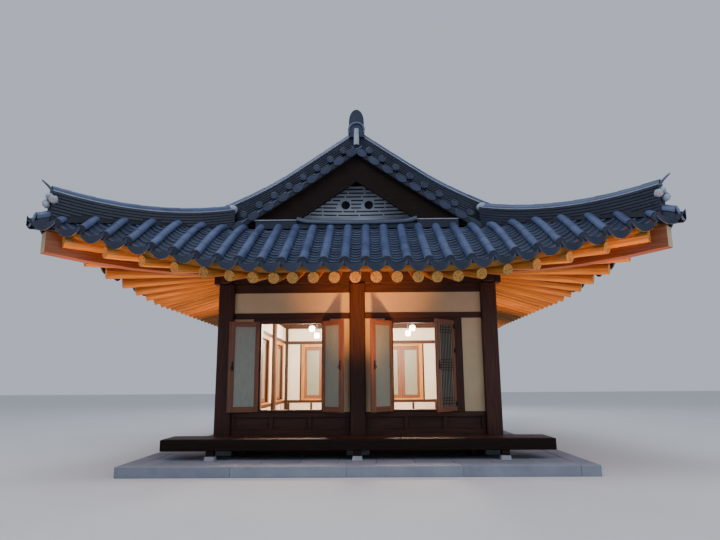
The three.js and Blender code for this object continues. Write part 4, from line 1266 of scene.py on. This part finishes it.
def verge_drip(shape, place):
    """Oval drip plate between two verge covers, with the tile that it ends."""
    oval = place @ Matrix.Translation((0, 0, -VERGE_OVAL_DROP))
    disc(shape, oval, VERGE_OVAL_RADIUS, "ridge", VERGE_OVAL_SQUASH)
    rows = []
    for y in (0.0, VERGE_PAN_LENGTH):
        places = [(VERGE_PAN_HALF * share, y, 0.02 * share * share - 0.004) for share in evenly(8)]
        rows.append([place @ Vector(point) for point in places])
    sheet(shape, rows, UP * VERGE_PAN_THICKNESS, "pan")


def main_ridge():
    shape = Shape()
    stations = []
    for share in evenly(RIDGE_STATIONS):
        y = MAIN_RIDGE_HALF_LENGTH * share
        top = MAIN_RIDGE_END_TOP - MAIN_RIDGE_SAG * (1 - (y / MAIN_RIDGE_HALF_LENGTH) ** 2)
        stations.append((Vector((0.0, y, 0.0)), slope_height(RIDGE_OUT), top))
    line = RidgeLine(stations)
    end = line.length - MAIN_RIDGE_INSET
    stacked_ridge(shape, line, MAIN_RIDGE_HALF, MAIN_RIDGE_CAP_RADIUS, MAIN_RIDGE_INSET, end)
    for side in GABLE_SIDES:
        ridge_end(shape, side)
    shape.make("main_ridge_tiles", "roof_tile", "main_ridge")


def ridge_end(shape, side):
    """Upright end tile on the main ridge, the arched collar before it and a short tile down the gable."""
    face = side.matrix(0, MAIN_RIDGE_HALF_LENGTH - HALF_DEPTH - 0.02)
    turn = face.to_3x3()
    across = turn @ Vector((1, 0, 0))
    dome = arch(FINIAL_HALF, FINIAL_RISE, FINIAL_TOP - FINIAL_RISE, MAIN_RIDGE_END_TOP - 0.20)
    prism(shape, dome, FINIAL_THICKNESS, face, "end")
    centre = MAIN_RIDGE_END_TOP - COLLAR_DROP
    stations = [(face @ Vector((0, y, centre)), across, UP, COLLAR_RADIUS) for y in (-0.04, 0.13, 0.30)]
    half_tile(shape, stations, "edge", COLLAR_THICKNESS, COLLAR_SPREAD)
    filling = arch(0.142, 0.142, centre, centre - 0.14)
    prism(shape, filling, 0.28, face @ Matrix.Translation((0, -0.015, 0)), "ridge")
    stations = []
    for share in (0.0, 0.5, 1.0):
        place = face @ Vector((0, -0.04 - 0.03 * share, centre + 0.01 - 0.35 * share))
        stations.append((place, across, turn @ Vector((0, -1, 0)), 0.046 + 0.008 * share))
    half_tile(shape, stations, "mortar", COVER_THICKNESS, 90)


def arch(half, rise, spring, low):
    """Outline of (x, z) points of an upright body with a round top."""
    outline = [(-half, low), (half, low)]
    for i in range(15):
        turn = math.pi * i / 14
        outline.append((half * math.cos(turn), spring + rise * math.sin(turn)))
    return outline


# Gables


def gable(side):
    """Plaster of a gable with its vents, its rows of broken tiles and the tile course at its foot."""
    node = f"{side.name}_gable_wall"
    low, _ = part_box(node)
    shape = Shape()
    place = side.matrix(0, GABLE_FACE)
    limit, foot = GABLE_PLASTER_HALF, low.z + 0.002
    outline = [(-limit, foot), (limit, foot)]
    for i in range(17):
        x = limit - limit * i / 8
        outline.append((x, slope_height(abs(x) - HALF_WIDTH) - SHELL_DEPTH - 0.012))
    plaster_with_vents(shape, place, outline, GABLE_PLASTER)
    for row in range(GABLE_ROWS):
        broken_tile_row(shape, place, row)
    for x, z in VENTS:
        centre = place @ Matrix.Translation((x, 0, z))
        rings = [(VENT_RADIUS, 0.070), (VENT_RADIUS, -0.014), (0.070, -0.014), (0.068, 0.060)]
        loft(shape, [circle(centre, radius, y, VENT_SIDES) for radius, y in rings], "clay", False)
    prism(shape, GABLE_CAP, 0.03, place @ Matrix.Translation((0, -0.05, 0)), "dark")
    foot_course(shape, side)
    shape.make(f"{side.name}_gable_plaster", "plaster", node)


def broken_tile_row(shape, place, row):
    """Row of long broken tiles set in the plaster, bowed up a little towards its ends."""
    level = GABLE_ROW_FOOT + GABLE_ROW_PITCH * row
    reach = GABLE_ROW_HALF - row * GABLE_ROW_NARROWING
    x = -reach + random.uniform(0, 0.05)
    while x < reach - 0.08:
        stop = min(x + random.uniform(0.22, 0.52), reach)
        for vent, height in VENTS:
            left, right = vent - VENT_CLEARANCE, vent + VENT_CLEARANCE
            if abs(level - height) < VENT_RADIUS + 0.02 and x < right and stop > left:
                if left - x > 0.06:
                    stop = left
                else:
                    x = right
                    stop = max(stop, x + 0.2)
        lift = GABLE_ROW_BOW * (1 - row / GABLE_ROWS)
        rings = []
        for i in range(4):
            spot = x + (stop - x) * i / 3
            z = level + lift * (spot / GABLE_ROW_HALF) ** 2
            corners = [(-0.009, -0.012), (0.02, -0.012), (0.02, 0.012), (-0.009, 0.012)]
            rings.append([place @ Vector((spot, y, z + rise)) for y, rise in corners])
        loft(shape, rings, "end", False)
        x = stop + random.uniform(0.018, 0.035)


def plaster_with_vents(shape, place, outline, thickness):
    """Wall of an outline of (x, z) points, pierced by its round vents."""
    curve = bpy.data.curves.new("outline", "CURVE")
    curve.dimensions = "2D"
    curve.fill_mode = "BOTH"
    curve.extrude = thickness / 2
    loops = [outline]
    for x, z in VENTS:
        turns = round_turns(VENT_SIDES)
        loops.append([(x + VENT_RADIUS * math.cos(turn), z + VENT_RADIUS * math.sin(turn)) for turn in turns])
    for loop in loops:
        spline = curve.splines.new("POLY")
        spline.points.add(len(loop) - 1)
        spline.use_cyclic_u = True
        for point, (x, z) in zip(spline.points, loop):
            point.co = (x, z, 0, 1)
    source = placed("outline", curve)
    evaluated = source.evaluated_get(bpy.context.evaluated_depsgraph_get())
    flat = evaluated.to_mesh()
    upright = Matrix(((1, 0, 0, 0), (0, 0, -1, thickness / 2), (0, 1, 0, 0), (0, 0, 0, 1)))
    points = [place @ upright @ vertex.co for vertex in flat.vertices]
    faces = [list(polygon.vertices) for polygon in flat.polygons]
    shape.add((points, faces, "gable", [(0, 0, 0.5)] * len(points), False))
    evaluated.to_mesh_clear()
    bpy.data.objects.remove(source)
    bpy.data.curves.remove(curve)


def foot_course(shape, side):
    """Sagging tile course before the foot of the gable, with plaster behind it and a pale lip beside it."""
    shares = evenly(20)
    stations = []
    for share in shares:
        height = FOOT_TILE_CENTRE + 0.035 * share**2 + 0.04 * max(0, abs(share) - 0.85) / 0.15
        centre = side.point(share * FOOT_COURSE_HALF, FOOT_COURSE_OUT, height)
        stations.append((centre, side.outward, UP, FOOT_TILE_RADIUS))
    half_tile(shape, stations, "ridge", CAP_TILE_THICKNESS)
    apron = []
    for out in (-0.06, -0.45):
        height = slope_height(out) + 0.03
        apron.append([side.point(share * FOOT_EDGE_HALF, out, height) for share in shares])
    sheet(shape, apron, UP * 0.04, "gable")
    place = side.matrix(0, FOOT_COURSE_OUT)
    half = FOOT_COURSE_HALF
    block(shape, (-half, -0.030, FOOT_COURSE_LOW), (half, 0.02, FOOT_COURSE_TOP), "ridge", 0, place)
    for flip in (-1, 1):
        near, far = sorted((flip * half, flip * FOOT_EDGE_HALF))
        lip = FOOT_EDGE_TOP + FOOT_LIP
        # Beside the course, blocks in the darkest tile finish as painted shade under the pale lip.
        block(shape, (near, -0.030, FOOT_COURSE_LOW), (far, 0.02, FOOT_EDGE_TOP), "end", 0, place)
        block(shape, (near - 0.03, -0.042, FOOT_EDGE_TOP), (far, 0.02, lip), "mortar", 0, place, 0.006)


def bargeboards(side):
    node, piece = f"{side.name}_bargeboards", f"{side.name}_bargeboard_pair"
    softened(node, piece, "dark", side.across, 0.008)


# Timber frame


def node_names(start):
    return [name for name in sorted(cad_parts) if name.startswith(start)]


def columns():
    for name in node_names("column_"):
        shape = Shape()
        block(shape, *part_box(name), "stained", 2, None, 0.014)
        shape.make(f"{name}_post", "stained_wood", name)


def wall_plates():
    """Beams between the columns, and the purlins that pass over them and cross at the corners."""
    shape = Shape()
    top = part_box("wall_plates")[1].z
    for side in SIDES:
        end = side.half + PLATE_END
        place = side.matrix()
        trim = 0.0 if side.gable else 0.0015
        low, high = (-end, -PLATE_HALF, BEAM_TOP + trim), (end, PLATE_HALF, top - trim)
        block(shape, low, high, "stained", 0, place, 0.008)
        for i in range(round(2 * side.half / BAY)):
            near = -side.half + i * BAY + COLUMN / 2
            low, high = (near, -TIE_HALF, PANEL_TOP), (near + BAY - COLUMN, TIE_HALF, BEAM_TOP + 0.002)
            block(shape, low, high, "stained", 0, place, 0.006)
    shape.make("wall_plate_beams", "stained_wood", "wall_plates")


def roof_frame():
    """Ring of beams under the rafters' inner ends, on posts over two cross beams, with its ceiling."""
    shape = Shape()
    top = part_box("roof_frame")[1].z
    base = top - RING_DEPTH
    x, y = HALF_WIDTH - RING_INSET, HALF_DEPTH - RING_INSET
    half, post_half, beam_half = RING_HALF, RING_POST_HALF, CROSS_BEAM_HALF
    for flip in (-1, 1):
        block(shape, (-x - half, flip * y - half, base), (x + half, flip * y + half, top), "pine", 0)
        block(shape, (flip * x - half, half - y, base), (flip * x + half, y - half, top), "pine", 1)
        cross = flip * BAY / 2
        low = (-CROSS_BEAM_REACH, cross - beam_half, PANEL_TOP)
        high = (CROSS_BEAM_REACH, cross + beam_half, CROSS_BEAM_TOP)
        block(shape, low, high, "pine", 0, None, 0.02)
        for post in (-x, x):
            low = (post - post_half, cross - post_half, CROSS_BEAM_TOP)
            block(shape, low, (post + post_half, cross + post_half, base), "pine", 2)
    count = round(2 * (y - half) / CEILING_BOARD)
    board = 2 * (y - half) / count
    for i in range(count):
        near = half - y + i * board
        low, high = (half - x, near, top - 0.03), (x - half, near + board - 0.003, top - 0.002)
        block(shape, low, high, "pine", 0, None, 0.003)
    shape.make("roof_frame_timbers", "pine", "roof_frame")


# Platform, floor and porch


def platform():
    """Kerb of long dressed stones round a paved top, with the base stones of columns and legs."""
    shape = Shape()
    _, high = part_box("stone_platform")
    for side in SIDES:
        reach, depth = (high.x, high.y) if side.gable else (high.y, high.x)
        place = Matrix.Rotation(side.turn, 4, "Z")
        count = round((2 * reach - KERB) / KERB_STONE)
        length = (2 * reach - KERB) / count
        for i in range(count):
            near = -reach + i * length
            far = near + length - 0.001
            top = PLATFORM_TOP - random.uniform(0, 0.001)
            block(shape, (near, -depth, 0), (far, KERB - depth, top), "stone", 0, place, 0.008)
    x, y = high.x - KERB - 0.002, high.y - KERB - 0.002
    block(shape, (-x, -y, 0.04), (x, y, PLATFORM_TOP - 0.016), "clay", 0)
    paving(shape, x, y)
    for name in node_names("column_"):
        low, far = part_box(name)
        base_stone(shape, (low + far) / 2, BASE_STONE_HALF, STONE_TOP)
    for x in (-HALF_WIDTH, 0.0, HALF_WIDTH):
        base_stone(shape, Vector((x, PORCH_LEG_LINE, 0)), PORCH_PAD_HALF, PORCH_LEG_FOOT)
    shape.make("platform_stones", "stone", "stone_platform")


def paving(shape, x, y):
    """Flags with open joints, over a rectangle that reaches x and y from the middle."""
    width, depth = 2 * x / FLAGS_ACROSS - FLAG_JOINT, 2 * y / FLAGS_DEEP - FLAG_JOINT
    foot = PLATFORM_TOP - FLAG_THICKNESS
    for i in range(FLAGS_ACROSS):
        for j in range(FLAGS_DEEP):
            left, front = -x + 2 * x * i / FLAGS_ACROSS, -y + 2 * y * j / FLAGS_DEEP
            near = Vector((left + FLAG_JOINT / 2, front + FLAG_JOINT / 2, foot))
            far = near + Vector((width, depth, FLAG_THICKNESS - random.uniform(0.002, 0.004)))
            block(shape, near, far, "stone", 0, None, 0.005)


def base_stone(shape, centre, half, top):
    """Dressed stone with battered sides and an eased top edge."""
    rings = []
    for reach, height in ((half, PLATFORM_TOP - 0.004), (half - 0.010, top - 0.008), (half - 0.018, top)):
        corners = [(-reach, -reach), (reach, -reach), (reach, reach), (-reach, reach)]
        rings.append([Vector((centre.x + x, centre.y + y, height)) for x, y in corners])
    loft(shape, rings, "base", smooth=False)


def floor():
    shape = Shape()
    low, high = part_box("room_floor")
    for i in range(math.ceil((high.x - low.x) / FLOOR_BOARD)):
        near = low.x + i * FLOOR_BOARD
        far = min(near + FLOOR_BOARD - BOARD_JOINT, high.x)
        gap = COLUMN / 2 + 0.005 if near < -ROOM_HALF or far > ROOM_HALF else BOARD_JOINT / 2
        for start, stop in ((low.y, -BAY / 2), (-BAY / 2, BAY / 2), (BAY / 2, high.y)):
            corners = (near, start + gap, FLOOR_TOP - DECK), (far, stop - gap, FLOOR_TOP)
            block(shape, *corners, "pine", 1, None, 0.002)
    for line in range(4):
        middle = (line - 1.5) * (BAY - 0.26)
        near, far = middle - JOIST_HALF, middle + JOIST_HALF
        corners = (-ROOM_HALF, near, PLATFORM_TOP), (ROOM_HALF, far, FLOOR_TOP - DECK - 0.001)
        block(shape, *corners, "stained", 0)
    shape.make("floor_boards", "pine", "room_floor")


def porch():
    """Narrow timber porch: a boarded deck on a deep front beam and short legs."""
    shape = Shape()
    low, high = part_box("porch")
    near, far = high.y, low.y
    beam, deck, rail = FLOOR_TOP - PORCH_BEAM, FLOOR_TOP - DECK, FLOOR_TOP - PORCH_RAIL
    back, front = near - PORCH_RAIL_WIDTH, far + PORCH_BEAM_WIDTH
    block(shape, (low.x, far, beam), (high.x, front, FLOOR_TOP), "dark", 0, None, 0.010)
    block(shape, (low.x, back, rail), (high.x, near, deck), "stained", 0)
    count = round((high.x - low.x) / PORCH_BOARD)
    width = (high.x - low.x) / count
    for i in range(count):
        start = low.x + i * width
        top = FLOOR_TOP - random.uniform(0, 0.0015)
        corners = (start + 0.001, front + 0.002, deck), (start + width - 0.001, near, top)
        block(shape, *corners, "stained", 1, None, 0.003)
    half = PORCH_LEG_HALF
    for x in (-HALF_WIDTH, 0.0, HALF_WIDTH):
        corners = (x - half, PORCH_LEG_LINE - half, PORCH_LEG_FOOT), (x + half, PORCH_LEG_LINE + half, beam)
        block(shape, *corners, "dark", 2)
    for x in (low.x + half, -HALF_WIDTH, 0.0, HALF_WIDTH, high.x - half):
        block(shape, (x - half, front, rail), (x + half, back, deck), "stained", 1)
    for x in PORCH_REAR_LEGS:
        block(shape, (x - half, back, PLATFORM_TOP), (x + half, near, rail), "stained", 2)
    shape.make("porch_boards", "stained_wood", "porch")


# Walls and windows


def wall_timbers(shape, place):
    """Timber frame of one bay: foot, rails, wainscot in three fields, jambs and lintel."""
    y = WALL / 2
    jamb = OPENING_HALF + JAMB
    foot = BAY / 2 - FOOT_INSET
    low, high = FLOOR_TOP + RAIL, SILL_TOP - RAIL
    for half, bottom, top, push in (
        (foot, PLATFORM_TOP, STONE_TOP + 0.001, 0),
        (BAY_HALF, STONE_TOP, low, 0),
        (BAY_HALF, high, SILL_TOP, 0),
        (BAY_HALF, LINTEL_BOTTOM, LINTEL_TOP, 0),
        (jamb, SILL_TOP, WINDOW_BOTTOM, SILL_STAND),
        (OPENING_HALF, WINDOW_TOP, LINTEL_BOTTOM, 0),
    ):
        block(shape, (-half, -y - push, bottom), (half, y, top), "stained", 0, place)
    for near, far in ((-jamb, -OPENING_HALF), (OPENING_HALF, jamb)):
        block(shape, (near, -y, WINDOW_BOTTOM), (far, y, LINTEL_BOTTOM), "stained", 2, place)
    third = (2 * BAY_HALF - STILE) / 3
    for i in range(4):
        x = i * third - BAY_HALF
        block(shape, (x, -y, low), (x + STILE, y, high), "stained", 2, place)
        if i < 3:
            near, far = (x + STILE, -WAINSCOT_HALF, low), (x + third, WAINSCOT_HALF, high)
            block(shape, near, far, "stained", 0, place, 0.001)


def plaster_panels(shape, place):
    """Cream plaster between the timbers outside."""
    y = PLASTER / 2
    jamb = OPENING_HALF + JAMB
    for near, far in ((-BAY_HALF, -jamb), (jamb, BAY_HALF)):
        block(shape, (near, -y, SILL_TOP), (far, y, LINTEL_BOTTOM), "plaster", 2, place, 0.003)
    block(shape, (-BAY_HALF, -y, LINTEL_TOP), (BAY_HALF, y, PANEL_TOP - 0.001), "plaster", 0, place, 0.003)


def inner_lining(shape, place):
    """White inner face of a wall, with a pine casing round its window."""
    near, far = PLASTER / 2, WALL / 2 - 0.004
    half, high = OPENING_HALF + CASING, WINDOW_TOP + RAIL
    sill, foot, head = WINDOW_BOTTOM - 0.05, FLOOR_TOP + 0.002, PANEL_TOP - 0.004
    for x0, x1, low, top in (
        (-BAY_HALF, -half, foot, head),
        (half, BAY_HALF, foot, head),
        (-half, half, high, head),
        (-half, half, foot, sill),
    ):
        block(shape, (x0, near, low), (x1, far, top), "white", 0, place, 0.001)
    for x0, x1, low, top, axis in (
        (-half, -OPENING_HALF, sill, high, 2),
        (OPENING_HALF, half, sill, high, 2),
        (-OPENING_HALF, OPENING_HALF, WINDOW_TOP, high, 0),
        (-OPENING_HALF, OPENING_HALF, sill, WINDOW_BOTTOM, 0),
    ):
        block(shape, (x0, near, low), (x1, far + 0.016, top), "pine", axis, place)


def sash(shape, place, width, low, high, hand):
    """Window leaf from x = 0 at its free edge to x = width at its hinges, its outer face at y = 0.

    Outside it shows a lattice of upright bars with three bands of cross bars, and inside its paper.
    """
    place = place @ Matrix.Diagonal((hand, 1, 1, 1))
    left, right = LEAF_FREE_STILE, width - LEAF_HINGE_STILE
    base, crown = low + LEAF_RAIL, high - LEAF_RAIL
    step = (right - left) / (LATTICE_BARS + 1)
    for near, far, axis in (
        ((0, 0, low), (left, LEAF_THICKNESS, high), 2),
        ((right, 0, low), (width, LEAF_THICKNESS, high), 2),
        ((left, 0, low), (right, LEAF_THICKNESS, base), 0),
        ((left, 0, crown), (right, LEAF_THICKNESS, high), 0),
    ):
        block(shape, near, far, "sash", axis, place, 0.003)
    for i in range(1, LATTICE_BARS + 1):
        x = left + step * i
        face, back = BAR_DEPTHS
        block(shape, (x - BAR_HALF, face, base), (x + BAR_HALF, back, crown), "stained", 2, place, 0.003)
    bands = [base + step * (i + 1) for i in range(3)]
    bands += [(base + crown) / 2 + step * (i - 2) for i in range(5)]
    bands += [crown - step * (i + 1) for i in range(3)]
    for z in bands:
        face, back = CROSS_BAR_DEPTHS
        near, far = (left, face, z - CROSS_BAR_HALF), (right, back, z + CROSS_BAR_HALF)
        block(shape, near, far, "stained", 0, place, 0.003)
    face, back = PAPER_DEPTHS
    block(shape, (left, face, base), (right, back, crown), "paper", 0, place, 0.001)


def ring_handle(shape, place):
    """Iron latch plate with a ring, on a face towards -y."""
    half, height = LATCH_HALF
    block(shape, (-half, -0.004, -height), (half, 0.0, height), "iron", 2, place, 0.001)
    block(shape, (-0.010, -0.022, -0.010), (0.010, -0.004, 0.012), "iron", 2, place, 0.003)
    loops = []
    for turn in round_turns(20):
        loop = []
        for tilt in round_turns(8):
            reach = RING_RADIUS + RING_WIRE * math.cos(tilt)
            depth = -0.018 + RING_WIRE * math.sin(tilt)
            loop.append(place @ Vector((reach * math.sin(turn), depth, reach * math.cos(turn) - 0.028)))
        loops.append(loop)
    loft(shape, loops, "iron", closed=True)


def hinge(shape, place, hand):
    """Knuckle and strap of a hinge, its pin upright."""
    half = HINGE_HALF
    upright = place @ Matrix.Rotation(math.pi / 2, 4, "X")
    loft(shape, [circle(upright, PIN_RADIUS, y, 16) for y in (-half, half)], "iron")
    near, far = sorted((-hand * STRAP_LENGTH, 0.0))
    corners = (near, -PIN_RADIUS - 0.003, -half), (far, 0.003 - PIN_RADIUS, half)
    block(shape, *corners, "iron", 0, place, 0.001)


def open_leaf(side, middle, hand, swing, label, number):
    """Leaf of the front wall, standing open on three hinges."""
    shape = Shape()
    low = WINDOW_BOTTOM - LEAF_OVERLAP
    high = WINDOW_TOP + LEAF_OVERLAP
    along = middle + hand * (OPENING_HALF + PIN_OFFSET - PIN_GAP)
    pin = side.matrix(along, WALL / 2 + PIN_RADIUS + PIN_GAP)
    pin = pin @ Matrix.Rotation(math.radians(hand * swing), 4, "Z")
    free = -hand * (PIN_OFFSET + LEAF_WIDTH)
    sash(shape, pin @ Matrix.Translation((free, -PIN_RADIUS, 0)), LEAF_WIDTH, low, high, hand)
    grip = free + hand * (LEAF_FREE_STILE - GRIP_INSET)
    handle_height = (low + high) / 2
    ring_handle(shape, pin @ Matrix.Translation((grip, -PIN_RADIUS, handle_height)))
    inner = pin @ Matrix.Translation((grip, LEAF_THICKNESS - PIN_RADIUS, handle_height))
    ring_handle(shape, inner @ Matrix.Rotation(math.pi, 4, "Z"))
    for share in HINGE_PLACES:
        hinge(shape, pin @ Matrix.Translation((0, 0, low + (high - low) * share)), hand)
    shape.make(f"sash_{label}_{number}", "window_leaf", f"window_leaf_{label}_{number}")


def front_bay(side, middle, label):
    place = side.matrix(middle)
    timbers, panels = Shape(), Shape()
    wall_timbers(timbers, place)
    timbers.make(f"front_timbers_{label}", "stained_wood", f"front_frame_{label}")
    plaster_panels(panels, place)
    inner_lining(panels, place)
    panels.make(f"front_panels_{label}", "plaster", f"front_plaster_{label}")
    for hand, swing, number in zip((-1, 1), LEAF_SWINGS[label], (1, 2)):
        open_leaf(side, middle, hand, swing, label, number)


def closed_bay(side, middle, label):
    shape = Shape()
    place = side.matrix(middle)
    wall_timbers(shape, place)
    plaster_panels(shape, place)
    inner_lining(shape, place)
    face = CLOSED_LEAF_INSET - WALL / 2
    for hand in (-1, 1):
        leaf = place @ Matrix.Translation((LEAF_GAP * hand, face, 0))
        low, high = WINDOW_BOTTOM + LEAF_GAP, WINDOW_TOP - LEAF_GAP
        sash(shape, leaf, OPENING_HALF - LEAF_GAP, low, high, hand)
        grip = hand * (LEAF_FREE_STILE - GRIP_INSET)
        ring_handle(shape, place @ Matrix.Translation((grip, face, (WINDOW_BOTTOM + WINDOW_TOP) / 2)))
    shape.make(f"{side.name}_bay_{label}", "wall_panel", f"{side.name}_wall_{label}")


def walls(side):
    for i in range(round(2 * side.half / BAY)):
        label = ("left", "right")[i] if side.gable else str(i + 1)
        bay = front_bay if side.name == "front" else closed_bay
        bay(side, BAY * (i + 0.5) - side.half, label)


# Lamps inside


def pendants():
    """Small glass lamps on thin stems under the ceiling."""
    shape = Shape()
    for x, y, z in PENDANTS:
        upright = Matrix.Translation((x, y, z)) @ Matrix.Rotation(math.pi / 2, 4, "X")
        rings = []
        for share in evenly(10):
            radius = PENDANT_RADIUS * (1 - abs(share) ** 5) ** 0.5 + 0.004
            rings.append(circle(upright, radius, PENDANT_HALF * share, 20))
        loft(shape, rings, "lamp")
        low, high = Vector((x + 0.0001, y, z + 0.06)), Vector((x, y, STEM_TOP))
        round_log(shape, low, high, STEM_RADIUS, "iron", "iron", 8)
    shape.make("pendant_lamps")


# Light, stage and camera


def lamp(name, kind, place, energy, colour):
    light = placed(name, bpy.data.lights.new(name, kind))
    light.data.energy = energy
    light.data.color = colour
    light.location = place
    return light


def area_lamp(colour, name, place, energy, target, size, spread):
    light = lamp(name, "AREA", place, energy, colour)
    light.data.shape = "RECTANGLE"
    light.data.size, light.data.size_y = size
    light.data.spread = math.radians(spread)
    light.rotation_euler = (Vector(target) - Vector(place)).to_track_quat("-Z", "Y").to_euler()


def lights():
    for values in SKY_LAMPS:
        area_lamp(SKY, *values)
    for flip in (-1, 1):
        for name, (x, *place), energy, (aim, *target), size, spread in EAVE_LAMPS:
            place, target = (flip * x, *place), (flip * aim, *target)
            area_lamp(WARM, f"{name}_{flip + 1}", place, energy, target, size, spread)
        for x, y, z in ROOM_LAMP_PLACES:
            light = lamp(f"room_{flip + 1}_{y:.0f}", "POINT", (flip * x, y, z), ROOM_LAMP_WATTS, ROOM)
            light.data.shadow_soft_size = ROOM_LAMP_SIZE
    area_lamp(WARM, *EAVE_MIDDLE_LAMP)
    world = bpy.data.worlds.new("soft_sky")
    world.use_nodes = True
    background = world.node_tree.nodes["Background"]
    background.inputs["Color"].default_value = (0.72, 0.79, 0.92, 1)
    background.inputs["Strength"].default_value = 0.7
    bpy.context.scene.world = world


def stage():
    mesh = bpy.data.meshes.new("pale_floor")
    corners = [(-60, -60, 0), (60, -60, 0), (60, 60, 0), (-60, 60, 0)]
    mesh.from_pydata(corners, [], [[0, 1, 2, 3]])
    mesh.materials.append(mineral("pale_floor", (0.60, 0.60, 0.60), (0.64, 0.64, 0.64), 0.4, 0.9, 0.05))
    placed("pale_floor", mesh)


def camera():
    """Eye of a person standing in front of the house, tilted up at the roof."""
    yaw, pitch, roll = (math.radians(angle) for angle in CAMERA_TURN)
    data = bpy.data.cameras.new("camera")
    data.sensor_width = SENSOR_WIDTH
    data.lens = SENSOR_WIDTH * FOCAL_PIXELS / IMAGE_WIDTH
    view = placed("camera", data)
    turned = Matrix.Rotation(-yaw, 4, "Z") @ Matrix.Rotation(math.pi / 2 + pitch, 4, "X")
    turned = turned @ Matrix.Rotation(roll, 4, "Z")
    view.matrix_world = Matrix.Translation(CAMERA_PLACE) @ turned
    bpy.context.scene.camera = view


camera()
lights()
stage()
for side in SIDES:
    tiled_slope(side)
    eave_batten(side)
    eaves(side)
    walls(side)
for side in GABLE_SIDES:
    end_ridges(side)
    verge_tiles(side)
    gable(side)
    bargeboards(side)
hip_rafters()
main_ridge()
columns()
wall_plates()
roof_frame()
platform()
floor()
porch()
pendants()
